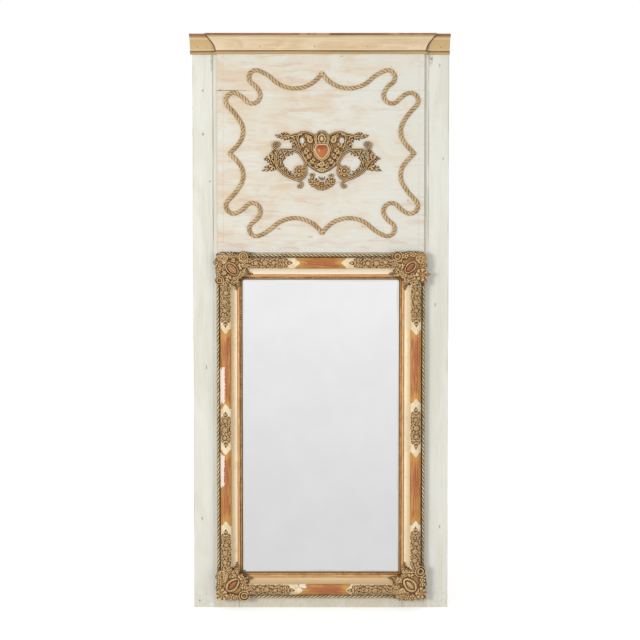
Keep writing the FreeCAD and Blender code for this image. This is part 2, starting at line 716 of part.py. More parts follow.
plate_top = size("cartouche_plate").value
relief_top = size("cartouche_relief").value
SHIELD = [(0, -36, 60), (42, -12, 70), (72, 46), (71, 72, 90), (44, 76, -60), (19, 66, 20.5), (-19, 66, -60),
          (-44, 76, 90), (-71, 72), (-72, 46, 70), (-42, -12, 60)]
SHIELD_HOLES = [(57, 54, 8), (-57, 54, 8)]
WING_LEAF = [(60, 32), (72, 40), (88, 46), (97, 54), (116, 58), (132, 69), (116, 71), (104, 66), (90, 74), (62, 72)]
WING_LEAF_RISE = 2
shield_ground = slab(outline(fitted(SHIELD)), 0, plate_top)
for x, y, radius in fitted(SHIELD_HOLES):
    shield_ground = shield_ground.cut(slab(around(x, y, [radius] * 12), 0, plate_top))
HOOD_START = (16, 54)
HOOD_RADII = (16,)
HOOD_TURNS = (180,)
HOOD_WIDTHS = (5, 3)
CURL_START = (7, -8)
CURL_RADII = (7,)
CURL_TURNS = (250,)
CURL_WIDTHS = (3.4, 2)
UPWARD = 90
hood = scrolled(HOOD_START, UPWARD, HOOD_RADII, HOOD_TURNS, *HOOD_WIDTHS)
hood_curl = scrolled(CURL_START, UPWARD, CURL_RADII, CURL_TURNS, *CURL_WIDTHS)
wing_leaf = slab(fitted(WING_LEAF), 0, plate_top + WING_LEAF_RISE)
shield = joined([shield_ground, hood, hood_curl, wing_leaf, wing_leaf.mirror(FreeCAD.Vector(), ACROSS)])
CABOCHON_PLACE = (0, 23.5)
CABOCHON = [(0, -19), (10, -11), (16, -2), (18, 7), (15, 14), (8, 17), (0, 15), (-8, 17), (-15, 14), (-18, 7),
            (-16, -2), (-10, -11)]
CABOCHON_CROWN = 0.6
rim, crown = [fitted([(x * share + CABOCHON_PLACE[0], y * share + CABOCHON_PLACE[1]) for x, y in CABOCHON])
              for share in (1, CABOCHON_CROWN)]
cabochon = frustum(rim, crown, plate_top, plate_top + size("cabochon_rise").value)

# One scroll: the upper band with its curl, the lower band with its foot, the spiral and the outer leaves.
OUTER_LEAVES = [(120, 12, 156, -3, 36), (118, -6, 170, -32, 48)]
BAND_STARTS = ((46, -6), (126, 30), (50, 2))
BAND_HEADINGS = (66, -80, -102)
BAND_RADII = ((50, 200, 10.5), (70, 120, 6.5), (160, 18))
BAND_TURNS = ((-66, 11, 250), (-80, 10, 200), (12, 215))
BAND_WIDTHS = ((7, 3.5), (7, 3.5), (6, 3))
bands = [scrolled(start, heading, radii, turns, *widths) for start, heading, radii, turns, widths
         in zip(BAND_STARTS, BAND_HEADINGS, BAND_RADII, BAND_TURNS, BAND_WIDTHS)]
leaves = [leaf((x0, y0), (x1, y1), bulge, 0, relief_top - WING_LEAF_RISE)
          for x0, y0, x1, y1, bulge in fitted(OUTER_LEAVES)]
scroll_wing = joined(bands + leaves).cut(shield_ground)
ROSETTE = [(64.5, -31.3, 13.5)]
rosette = flower(*fitted(ROSETTE)[0], 0, relief_top, 6)
PALMETTE = [(-36, -58, 20), (-22, -76, 16), (0, -84, 16), (22, -76, 20), (36, -58, 14), (27, -43, -18), (11, -60, 14),
            (-11, -60, -18), (-27, -43, 14)]
PALMETTE_FLOWER = [(0, -71, 11)]
palmette = joined([slab(outline(fitted(PALMETTE)), 0, plate_top),
                   flower(*fitted(PALMETTE_FLOWER)[0], 0, relief_top)])
cartouche_spot = (size("scroll_centre_x"), panel_front, scroll_z - size("cartouche_drop"))
relief("cartouche_shield", shield, cartouche_spot)
relief("cartouche_cabochon", cabochon, cartouche_spot)
relief("cartouche_palmette", palmette, cartouche_spot)
for name, shape in (("scroll", scroll_wing), ("rosette", rosette)):
    relief("cartouche_%s_right" % name, shape, cartouche_spot)
    relief("cartouche_%s_left" % name, shape.mirror(FreeCAD.Vector(), ACROSS), cartouche_spot)

# Composition ornaments over the frame's mitres and along its band, in each side's own directions: X from the
# outer mitre along the side, Y in from the outside edge. They are trimmed to the mouldings that they sit on.
ornament_foot = size("ornament_foot").value
ornament_ground = size("ornament_ground").value
ornament_top = size("ornament_top").value
CORNER_GROUND = (43, 42, 39)
CORNER_CABOCHON = (17, 11)
CORNER_SIDES = {
    "bottom_left": ("bottom", "left"),
    "bottom_right": ("right", "bottom"),
    "top_right": ("top", "right"),
    "top_left": ("left", "top"),
}
CORNERS = {
    "bottom_left": ((45, 37), (78, 8, 14), (14, 61, 12), (16, 9, 11), (5, 31, 10)),
    "bottom_right": ((39, 42), (75, 14, 14), (13, 75, 13), (19, 9, 11), (2, 32, 10)),
    "top_right": ((39, 39), (77, 9, 14), (8, 62, 13), (10, 12, 12)),
    "top_left": ((48, 50), (13, 20, 13), (6, 74, 13), (77, 9, 14), (28, 84, 11)),
}


# The ornaments are pressed over the mouldings. Under them each side has a straight-sided bed, which follows its
# rail and its edging from just outside.
BED_TURN = 26
BED = FRAME_RAIL[:11] + FRAME_ROPE[1:] + [FRAME_ROPE[0], FRAME_RAIL[12]]


def bed(side):
    """The facets under the ornaments along one side of the frame, mitred like the moulding."""
    length = FRAME_SIDES[side][2].value
    edge = outline(BED, BED_TURN, over=True)
    form = doc.addObject("Part::Feature", "bed_" + side)
    form.Shape = flat_sided([vector(u, u, v) for u, v in edge], [vector(length - u, u, v) for u, v in edge])
    place(form, side_spot(side), side_turn(side))
    return form


beds = {side: bed(side) for side in FRAME_SIDES}


def trimmed(label, shape, side, under):
    """A relief placed on its side of the frame and cut to the beds under it."""
    raw = doc.addObject("Part::Feature", label + "_relief")
    raw.Shape = shape
    place(raw, side_spot(side), side_turn(side))
    if len(under) > 1:
        ground = doc.addObject("Part::MultiFuse", label + "_seat")
        ground.Shapes = under
    else:
        ground = under[0]
    seated = doc.addObject("Part::Cut", label + "_trim")
    seated.Base = raw
    seated.Tool = ground
    return piece(seated, label)


for corner_label, (side, other) in CORNER_SIDES.items():
    cabochon_place, *flowers = CORNERS[corner_label]
    ground_x, ground_y, ground_radius = CORNER_GROUND
    solids = [stub(ground_x, ground_y, ground_radius, ground_radius, ornament_foot, ornament_ground, 10)]
    solids.append(stub(*cabochon_place, *CORNER_CABOCHON, ornament_ground, ornament_top))
    for x, y, radius in flowers:
        solids.append(flower(x, y, radius, ornament_foot, ornament_top))
    trimmed("corner_ornament_" + corner_label, joined(solids), side,
            [beds[side], beds[other]])

# Sprays of leaves and flowers on the band. A span is measured from the near mitre, the middle or the far mitre.
spray_foot = size("spray_foot").value
spray_leaf_top = size("spray_leaf_top").value
spray_flower_top = size("spray_flower_top").value
band_middle = ((size("rope_step") + size("band_inner")) / 2).value
SPRAYS = {
    "top": (("near", 87, 219), ("far", -229, -103)),
    "bottom": (("near", 95, 224), ("far", -213, -98)),
    "left": (("near", 90, 211), ("middle", -39, 64), ("far", -207, -92)),
    "right": (("near", 100, 215), ("middle", -70, 68), ("far", -215, -93)),
}
SPRAY_FLOWERS = ((0.2, -3, 8), (0.5, 3, 9), (0.8, -2, 7))
SPRAY_BULGE = 1.7
for side, spans in SPRAYS.items():
    along = FRAME_SIDES[side][2].value
    starts = {"near": 0, "middle": along / 2, "far": along}
    solids = []
    for reference, first, last in spans:
        first += starts[reference]
        last += starts[reference]
        length = last - first
        parts = [leaf((first, band_middle), (last, band_middle), SPRAY_BULGE * length, spray_foot, spray_leaf_top)]
        for share, aside, radius in SPRAY_FLOWERS:
            parts.append(flower(first + share * length, band_middle + aside, radius, spray_foot, spray_flower_top))
        solids.append(joined(parts))
    trimmed("frame_sprays_" + side, Part.makeCompound(solids), side, [beds[side]])

# Hangers on the back of the side boards: a strap with a rolled eye, and a D-shaped ring free to swing in it.
eye_bore = size("ring_wire") + size("ring_clearance") * 2
eye_outside = eye_bore + size("strap_thickness") * 2
strap_back = -eye_outside / 2
strap_face = strap_back + size("strap_thickness")
hanger_y = carcass_back + eye_outside / 2
hanger_z = board_top - size("hanger_drop")
half_ring = size("ring_width") / 2
ring_leg = size("ring_bend") + size("ring_wire")


def hanger_strap(label, x):
    body = new_body(label + "_body")
    plate = new_sketch(body, "YZ_Plane", label + "_plate_section")
    draw(plate, rectangle(strap_back, -size("strap_length"), strap_face, FLOOR))
    pad(body, plate, label + "_plate", size("strap_width"), both_ways=True)
    eye = new_sketch(body, "YZ_Plane", label + "_eye_section")
    draw_circle(eye, FLOOR, FLOOR, eye_outside)
    pad(body, eye, label + "_eye", size("strap_width"), both_ways=True)
    bore = new_sketch(body, "YZ_Plane", label + "_bore_section", -size("strap_width"))
    draw_circle(bore, FLOOR, FLOOR, eye_bore)
    pocket(body, bore, label + "_bore", size("strap_width") * 2)
    holes = new_sketch(body, "XZ_Plane", label + "_holes", -size("ring_width"))
    for order in (0, 1):
        drop = -size("strap_hole_start") - size("strap_hole_pitch") * order
        draw_circle(holes, FLOOR, drop, size("strap_hole"))
    drilled = pocket(body, holes, label + "_screw_holes")
    rims = []
    for number_of_edge, edge in enumerate(body.Shape.Edges, start=1):
        centre = edge.CenterOfMass
        round_rim = isinstance(edge.Curve, Part.Circle) and abs(edge.Curve.Axis.y) > 0.9
        if round_rim and abs(centre.y - strap_face.value) < 1e-3:
            rims.append("Edge%d" % number_of_edge)
    sink = body.newObject("PartDesign::Chamfer", label + "_countersinks")
    sink.Base = (drilled, rims)
    bind(sink, "Size", (size("strap_sink") - size("strap_hole")) / 2)
    body.Tip = sink
    piece(body, label, (x, hanger_y, hanger_z))


def hanger_ring(label, x):
    body = new_body(label + "_body")
    bar = half_ring - size("ring_bend")
    spine = new_sketch(body, "XZ_Plane", label + "_centreline")
    draw(spine, outline([(FLOOR, FLOOR), (-bar, FLOOR, size("ring_bend")), (-half_ring, -size("ring_bend")),
                         (-half_ring, -ring_leg, half_ring), (FLOOR, -ring_leg - half_ring, half_ring),
                         (half_ring, -ring_leg), (half_ring, -size("ring_bend"), size("ring_bend")),
                         (bar, FLOOR)]))
    section = new_sketch(body, "YZ_Plane", label + "_wire")
    facets = 6
    wire = size("ring_wire") / 2
    draw(section, [(wire * math.cos(2 * math.pi * facet / facets), wire * math.sin(2 * math.pi * facet / facets))
                   for facet in range(facets)])
    doc.recompute()
    bent = body.newObject("PartDesign::AdditivePipe", label + "_bent_wire")
    bent.Profile = section
    bent.Spine = (spine, ["Edge%d" % edge for edge in range(1, spine.GeometryCount + 1)])
    bent.Transition = "Right corner"
    body.Tip = bent
    piece(body, label, (x, hanger_y, hanger_z))


for side_label, x in (("left", -half_carcass + size("left_board_width") / 2),
                      ("right", half_carcass - size("right_board_width") / 2)):
    hanger_strap("hanger_strap_" + side_label, x)
    hanger_ring("hanger_ring_" + side_label, x)

doc.recompute()


def check_and_write():
    for thing in doc.Objects:
        if any(word in thing.State for word in ("Invalid", "Error")):
            raise ValueError("%s did not compute: %s" % (thing.Name, thing.State))
    os.makedirs("parts", exist_ok=True)
    for thing in pieces:
        if thing.Shape.isNull() or not thing.Shape.isValid():
            raise ValueError("%s has no valid shape" % thing.Label)
        thing.Shape.exportStep("parts/%s.step" % thing.Label)
    print("%d pieces" % len(pieces))


check_and_write()
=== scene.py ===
import bpy, bmesh
import math
import random
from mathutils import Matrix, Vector
import numpy as np


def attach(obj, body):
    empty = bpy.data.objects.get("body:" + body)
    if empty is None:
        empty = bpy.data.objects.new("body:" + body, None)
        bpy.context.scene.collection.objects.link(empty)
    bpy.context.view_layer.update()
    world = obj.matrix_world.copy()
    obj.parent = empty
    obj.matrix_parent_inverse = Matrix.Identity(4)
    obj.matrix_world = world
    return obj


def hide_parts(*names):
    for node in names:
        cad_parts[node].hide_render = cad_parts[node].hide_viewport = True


# A painted trumeau mirror: board carcass, nailed upper panel with a twisted rope scroll and a gilt cartouche,
# breakfront cornice, and a gilt and painted frame round a mirror plate. Metres, in the frame of the CAD model:
# X to the viewer's right, Z up, the wall at Y = 0 and the front facing -Y.

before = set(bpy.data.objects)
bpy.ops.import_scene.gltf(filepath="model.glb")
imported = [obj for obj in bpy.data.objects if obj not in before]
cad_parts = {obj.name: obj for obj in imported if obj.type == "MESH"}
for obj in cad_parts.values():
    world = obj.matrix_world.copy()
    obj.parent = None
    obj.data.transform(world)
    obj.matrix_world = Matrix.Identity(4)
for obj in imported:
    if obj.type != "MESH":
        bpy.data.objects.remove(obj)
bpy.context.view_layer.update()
MM = 0.001
CARCASS = "carcass"


class Wire:
    """What a shader node puts out. Sums on it add the nodes that work them out."""

    def __init__(self, finish, socket):
        self.finish = finish
        self.socket = socket

    def also(self, name):
        """Another output of the same node."""
        return Wire(self.finish, self.socket.node.outputs[name])

    def maths(self, operation, *values, clamp=False):
        return self.finish.add("ShaderNodeMath", {"operation": operation, "use_clamp": clamp}, values)

    def __add__(self, other):
        return self.maths("ADD", self, other)

    def __sub__(self, other):
        return self.maths("SUBTRACT", self, other)

    def __rsub__(self, other):
        return self.maths("SUBTRACT", other, self)

    def __mul__(self, other):
        return self.maths("MULTIPLY", self, other)

    def __truediv__(self, other):
        return self.maths("DIVIDE", self, other)

    def __pow__(self, other):
        return self.maths("POWER", self, other)

    def __abs__(self):
        return self.maths("ABSOLUTE", self)

    __radd__, __rmul__ = __add__, __mul__

    def at_most(self, other):
        return self.maths("MINIMUM", self, other)

    def at_least(self, other):
        return self.maths("MAXIMUM", self, other)

    def clamped(self):
        return self.maths("ADD", self, 0, clamp=True)

    def step(self, low, high):
        """0 up to low, 1 from high, and smooth between; low may be above high."""
        return self.finish.add("ShaderNodeMapRange", {"interpolation_type": "SMOOTHSTEP"},
                               {"Value": self, "From Min": low, "From Max": high})

    def coat(self, mask, paint):
        """This colour with another one over it where the mask is 1."""
        return self.finish.mix(mask, self, paint)


class Finish:
    """A material, built up node by node."""

    def __init__(self, name):
        self.material = bpy.data.materials.new(name)
        self.material.use_nodes = True
        self.tree = self.material.node_tree
        self.tree.nodes.clear()
        self.place = self.add("ShaderNodeTexCoord", {}, {}).also("Object")

    def add(self, kind, settings, values):
        """One node: its settings first, then the values or wires of its sockets, by name or in order."""
        node = self.tree.nodes.new(kind)
        for name, value in settings.items():
            setattr(node, name, value)
        shown = [socket for socket in node.inputs if socket.enabled]
        named = values.items() if isinstance(values, dict) else enumerate(values)
        for name, value in named:
            if isinstance(name, int):
                socket = shown[name]
            else:
                socket = [candidate for candidate in shown if candidate.name == name][0]
            if isinstance(value, Wire):
                self.tree.links.new(value.socket, socket)
            elif isinstance(value, str):
                socket.default_value = colour(value)
            else:
                socket.default_value = value
        made = [socket for socket in node.outputs if socket.enabled]
        return Wire(self, made[0]) if made else None

    def axis(self, name):
        return self.add("ShaderNodeSeparateXYZ", {}, [self.place]).also(name)

    def noise(self, size, detail=3.0, rough=0.55, warp=0.0):
        """Soft noise; size is that of its patches in metres, or one for each axis, or the wire of the place."""
        place = size
        if not isinstance(size, Wire):
            sizes = size if isinstance(size, tuple) else (size,) * 3
            place = self.add("ShaderNodeVectorMath", {"operation": "MULTIPLY"},
                             [self.place, tuple(1 / each for each in sizes)])
        return self.add("ShaderNodeTexNoise", {}, {"Vector": place, "Scale": 1.0, "Detail": detail,
                                                   "Roughness": rough, "Distortion": warp})

    def mix(self, mask, below, above):
        """A colour over another one where the mask is 1."""
        return self.add("ShaderNodeMix", {"data_type": "RGBA", "clamp_factor": True},
                        {"Factor": mask, "A": below, "B": above})

    def bump(self, relief, depth, strength):
        return self.add("ShaderNodeBump", {}, {"Height": relief, "Distance": depth, "Strength": strength})

    def attribute(self, name):
        return self.add("ShaderNodeAttribute", {"attribute_name": name}, {}).also("Fac")

    def surface(self, **values):
        """The shader itself; a socket's name has its spaces written as underscores."""
        shader = self.add("ShaderNodeBsdfPrincipled", {}, {name.replace("_", " "): value
                                                           for name, value in values.items()})
        self.add("ShaderNodeOutputMaterial", {}, {"Surface": shader})
        return self.material


def colour(text):
    """A colour written as in paint charts, #rrggbb, in the linear values that shaders take."""
    parts = [int(text[start:start + 2], 16) / 255 for start in (1, 3, 5)]
    return [part / 12.92 if part <= 0.04045 else ((part + 0.055) / 1.055) ** 2.4 for part in parts] + [1.0]


# ---- Places on the mirror frame -------------------------------------------------------------------------------
# Each side of the frame is set out in millimetres: along it from its outer mitre, across it from its outside edge
# and up off the carcass.
CARCASS_FRONT = -42
PANEL_FRONT = -52
FRAME_SIDES = {
    "bottom": ((-299, 32.5), (1, 0), (0, 1), 598),
    "right": ((299, 32.5), (0, 1), (-1, 0), 994),
    "top": ((299, 1026.5), (-1, 0), (0, -1), 598),
    "left": ((-299, 1026.5), (0, -1), (1, 0), 994),
}


def on_side(side):
    """The function that turns along, across and up on a side of the frame into metres."""
    (x0, z0), ahead, inward, _ = FRAME_SIDES[side]

    def spot(along, across, up):
        x = x0 + along * ahead[0] + across * inward[0]
        z = z0 + along * ahead[1] + across * inward[1]
        return np.stack([x * MM, (CARCASS_FRONT - up) * MM + x * 0, z * MM], axis=-1)
    return spot


def on_front(x0, z0, y0=PANEL_FRONT, facing=-1):
    """The same for places about a point of the front, or of the back as seen from behind where facing is 1."""
    def spot(x, z, up):
        return np.stack([(x0 - facing * x) * MM, (y0 + facing * up) * MM + x * 0, (z0 + z) * MM], axis=-1)
    return spot


def bow(start, end, radius, steps):
    """Points on the arc between two points, bulging to the right of the way when the radius is positive."""
    start, end = np.array(start, float), np.array(end, float)
    chord = end - start
    half = np.hypot(*chord) / 2
    left = np.array([-chord[1], chord[0]]) / (2 * half)
    reach = math.sqrt(max(radius * radius - half * half, 0))
    centre = (start + end) / 2 + left * math.copysign(reach, radius)
    sweep = math.copysign(2 * math.asin(min(half / abs(radius), 1)), radius)
    first = start - centre
    turns = np.linspace(0, sweep, steps + 1)
    return np.stack([centre[0] + first[0] * np.cos(turns) - first[1] * np.sin(turns),
                     centre[1] + first[0] * np.sin(turns) + first[1] * np.cos(turns)], axis=-1)


def frame_section():
    """The moulding's face from the outside edge to the rebate, as across and up."""
    runs = [np.array([(0, 0), (0, 16), (10.5, 16), (10.5, 24)], float),
            bow((42.5, 29), (10.5, 24), 18, 16)[::-1], np.array([(42.5, 29), (42.5, 27)], float),
            bow((59, 15), (42.5, 27), -19, 8)[::-1], bow((66, 15), (59, 15), 3.8, 6)[::-1],
            np.array([(66, 11), (74, 11), (74, 8), (65, 8)], float)]
    points = [runs[0][0]]
    for run in runs:
        for point in run:
            gap = np.hypot(*(point - points[-1]))
            if gap > 0.05:
                pieces = max(1, math.ceil(gap / 3))
                for share in range(1, pieces + 1):
                    points.append(points[-1] + (point - points[-1]) / (pieces - share + 1))
    return np.array(points)


SECTION = frame_section()


def frame_up(across):
    """How high the moulding's face is, off the carcass."""
    face = SECTION[(SECTION[:, 1] > 10.9) & (SECTION[:, 0] > 0.1)]
    order = np.argsort(face[:, 0], kind="stable")
    return np.interp(across, face[order, 0], face[order, 1])


# ---- Making meshes --------------------------------------------------------------------------------------------
def make_piece(name, points, faces, finish, body=CARCASS, smooth=True, replaced=(), outward=False, **values):
    """A mesh piece in metres, with its finish, the body that it rides on and a value for each point."""
    mesh = bpy.data.meshes.new(name)
    mesh.from_pydata(np.asarray(points).reshape(-1, 3).tolist(), [], [tuple(map(int, face)) for face in faces])
    mesh.polygons.foreach_set("use_smooth", [smooth] * len(mesh.polygons))
    for key, numbers in values.items():
        mesh.attributes.new(key, "FLOAT", "POINT").data.foreach_set("value", np.ravel(numbers).astype(float))
    mesh.materials.append(finish)
    if outward:
        work = bmesh.new()
        work.from_mesh(mesh)
        bmesh.ops.recalc_face_normals(work, faces=work.faces)
        work.to_mesh(mesh)
        work.free()
    thing = bpy.data.objects.new(name, mesh)
    bpy.context.collection.objects.link(thing)
    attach(thing, body)
    if replaced:
        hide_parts(*replaced)
    return thing


def net(rows, columns, closed=False):
    """The quads of a grid of points; closed joins the last column to the first."""
    row, column = np.meshgrid(np.arange(rows - 1), np.arange(columns if closed else columns - 1), indexing="ij")
    after = (column + 1) % columns
    quads = [row * columns + column, row * columns + after, (row + 1) * columns + after, (row + 1) * columns + column]
    return np.stack([quad.ravel() for quad in quads], axis=-1)


def sharp_edges(thing, degrees):
    """Smooth shading everywhere but at edges sharper than that."""
    mesh = thing.data
    work = bmesh.new()
    work.from_mesh(mesh)
    for edge in work.edges:
        edge.smooth = len(edge.link_faces) == 2 and edge.calc_face_angle(0) < math.radians(degrees)
    work.to_mesh(mesh)
    work.free()


# ---- Gilt frame -----------------------------------------------------------------------------------------------
# Bole shows on the band in long panels between the sprays, each with a swallow tail at both ends.
BOLE_PANELS = {"top": ((227, 371),), "bottom": ((234, 384),), "left": ((216, 444), (563, 782)),
               "right": ((214, 424), (566, 775))}
# Gesso shows where the bole has broken out: from and to along, from and to across.
GESSO_SPOTS = {"left": ((318, 436, 8, 27), (572, 676, 8, 24)), "bottom": ((228, 262, 32, 46),)}
BAND_MIDDLE = 26.5
# Across this the sight edge is dark, where the light from the upper left doesn't reach it.
SIGHT_SHADE = {"left": 72, "top": 72, "right": 73, "bottom": 72.5}


def panel_distance(side, along, across):
    """How far inside a bole panel a point is, in millimetres; negative outside."""
    best = np.full(along.shape, -60.0)
    for first, last in BOLE_PANELS[side]:
        tongue = 15 * np.clip(1 - abs(across - BAND_MIDDLE) / 12, 0, 1)
        best = np.maximum(best, np.minimum(along - first, last - along) - tongue)
    return best


def frame_rail(side):
    """One side of the moulding, mitred, with its zones for the paint."""
    length = FRAME_SIDES[side][3]
    rows = round(length / 3)
    share = np.linspace(0, 1, rows)[:, None]
    across = SECTION[None, :, 0] + share * 0
    up = SECTION[None, :, 1] + share * 0
    along = across + share * (length - 2 * across)
    points = on_side(side)(along, across, up)
    faces = net(rows, len(SECTION))[:, ::-1]
    bole = panel_distance(side, along, across)
    gesso = np.zeros(along.shape)
    for first, last, near, far in GESSO_SPOTS.get(side, ()):
        edge = np.minimum(np.minimum(along - first, last - along) / 26, np.minimum(across - near, far - across) / 8)
        gesso = np.maximum(gesso, np.clip(edge + 0.5, 0, 1))
    thing = make_piece("frame_moulding_" + side, points, faces, finishes["frame_gilding"],
                       replaced=["frame_rail_" + side], across=across, along=along, bole=bole, gesso=gesso,
                       shade=np.clip((across - SIGHT_SHADE[side]) / 1.5, 0, 1))
    sharp_edges(thing, 40)


def twisted_rope(name, spot, path, left, radius, squash, middle, pitch, finish, replaced, lean):
    """A three-strand rope moulding along a path; left is the sideways direction at each point."""
    strands = 3
    around = np.linspace(0, 2 * math.pi, 18, endpoint=False)[None, :]
    run = np.concatenate([[0], np.cumsum(np.hypot(*np.diff(path, axis=0).T))])[:, None]
    phase = around - lean * 2 * math.pi * run / (pitch * strands)
    lobe = abs(np.cos(phase * strands / 2))
    reach = radius * (0.80 + 0.20 * lobe ** 0.7)
    side = reach * np.cos(around)
    up = middle + reach * np.sin(around) * squash
    x = path[:, :1] + left[:, :1] * side
    y = path[:, 1:] + left[:, 1:] * side
    rows, columns = x.shape
    faces = [*net(rows, columns, closed=True), range(columns), range((rows - 1) * columns, rows * columns)]
    make_piece(name, spot(x, y, up), faces, finish, replaced=replaced, outward=True, groove=1 - lobe)


def edging(side):
    """The twisted edging along the outside of one side of the frame."""
    length = FRAME_SIDES[side][3]
    along = np.arange(5, length - 5, 1.1)
    path = np.stack([along, along * 0 + 4.7], axis=-1)
    left = np.stack([along * 0, along * 0 + 1], axis=-1)
    lean = 1 if side in ("left", "top") else -1
    twisted_rope("frame_edging_" + side, on_side(side), path, left, 4.1, 0.95, 19.2, 12.5, finishes["rope_paint"],
                 ["frame_rope_" + side], lean)


SIGHT_MIDDLE, SIGHT_UP = 70, 11
PEARL_GAP = 5.2


def pearls(side):
    """The row of small beads along the sight edge, on a strip."""
    length = FRAME_SIDES[side][3]
    # Left and top sides get more painted shade on their pearls and strip, as the light from the upper left doesn't
    # reach them.
    dull = side in ("left", "top")
    turns = np.linspace(0, 2 * math.pi, 8, endpoint=False)
    points, faces, painted_shade = [], [], []
    for middle in np.arange(72, length - 72, PEARL_GAP):
        faces.extend(net(4, 8, closed=True) + len(points))
        size = rng.uniform(2.2, 2.6)
        for lift in np.radians([0, 35, 65, 88]):
            for turn in turns:
                reach = size * math.cos(lift)
                points.append((middle + reach * math.cos(turn), SIGHT_MIDDLE + reach * math.sin(turn),
                               SIGHT_UP + 2.4 * math.sin(lift)))
                # Each pearl is painted darker towards its foot: painted shade where it meets the strip.
                painted_shade.append((1 - math.sin(lift)) * 0.9 + 0.15 * dull)
    base = len(points)
    # The strip is painted darker towards the glass: painted shade at the sight edge.
    for along, across, tint in ((66, 66.2, 0.45), (length - 66, 66.2, 0.45), (length - 73.6, 73.6, 1.0),
                                (73.6, 73.6, 1.0)):
        for up in (SIGHT_UP - 0.5, SIGHT_UP + 0.6):
            points.append((along, across, up))
            painted_shade.append(tint + 0.12 * dull)
    strip = ((1, 3, 5, 7), (0, 1, 7, 6), (6, 7, 5, 4), (4, 5, 3, 2), (2, 3, 1, 0))
    faces += [[base + corner for corner in face] for face in strip]
    make_piece("sight_pearls_" + side, on_side(side)(*np.array(points).T), faces, finishes["sight_gilding"],
               replaced=["sight_strip_" + side], outward=True, groove=painted_shade)


# ---- Panel rope -----------------------------------------------------------------------------------------------
def tangent_arcs(start, heading, radii, turns, step, lead):
    """Points and sideways directions a step apart, along arcs that run into each other from one straight lead to
    another."""
    here = np.array(start, float)
    way = math.radians(heading)
    points, lefts = [], []

    def aside(angle):
        return np.array([-math.sin(angle), math.cos(angle)])

    def straight(distances):
        for distance in distances:
            points.append(here + distance * np.array([math.cos(way), math.sin(way)]))
            lefts.append(aside(way))

    straight(np.arange(-lead, 0, step))
    for radius, turn in zip(radii, np.radians(turns)):
        radius = math.copysign(radius, turn)
        centre = here + aside(way) * radius
        count = max(2, math.ceil(turn * radius / step))
        for order in range(count):
            lefts.append(aside(way + turn * order / count))
            points.append(centre - lefts[-1] * radius)
        way += turn
        here = centre - aside(way) * radius
    straight(np.arange(0, lead + step, step))
    return np.array(points), np.array(lefts)


ROPE_MIDDLE = (3, 1313.5)
ROPE_TOP = 229.5
ROPE_HEADING = 240
ROPE_RADII = (89.5, 118.8, 20.7, 53.9, 23.4, 76.8, 22.4, 206.4, 53.3, 220.3)
ROPE_TURNS = (-103.6, 23.8, 167.9, -33.4, -164.8, 24.1, 162.6, -15.6, -69.5, -11)


def panel_rope():
    """The rope scroll on the panel, in four quarters that meet at its cusps."""
    path, left = tangent_arcs((0, ROPE_TOP), ROPE_HEADING, ROPE_RADII, ROPE_TURNS, 1.2, 8)
    keep = (path[:, 0] < 0.6) & (path[:, 1] > -0.6)
    path, left = path[keep], left[keep]
    for name, flip_x, flip_z in (("top_left", 1, 1), ("top_right", -1, 1), ("bottom_left", 1, -1),
                                 ("bottom_right", -1, -1)):
        flip = np.array([flip_x, flip_z])
        twisted_rope("panel_rope_" + name, on_front(*ROPE_MIDDLE), path * flip, left * flip, 5.9, 0.8, 3.0, 11.5,
                     finishes["panel_rope_paint"], ["rope_scroll_" + name], lean=flip_x * flip_z)


PANEL_JOINT = 1492.9


def joint_filling():
    """Paint that bridges the joint of the panel's two boards, but for its left end, where it has broken out."""
    points = []
    stops = np.arange(-212, 297.5, 3.0)
    for order, x in enumerate(stops):
        half = 1.0 + 0.25 * math.sin(order * 1.7) + rng.uniform(-0.15, 0.15)
        points += [(x * MM, y, (PANEL_JOINT + z) * MM)
                   for y, z in ((-0.0516, -half), (-0.05206, -half * 0.6), (-0.05206, half * 0.6), (-0.0516, half))]
    make_piece("joint_filling", points, net(len(stops), 4)[:, ::-1], finishes["panel_paint"])


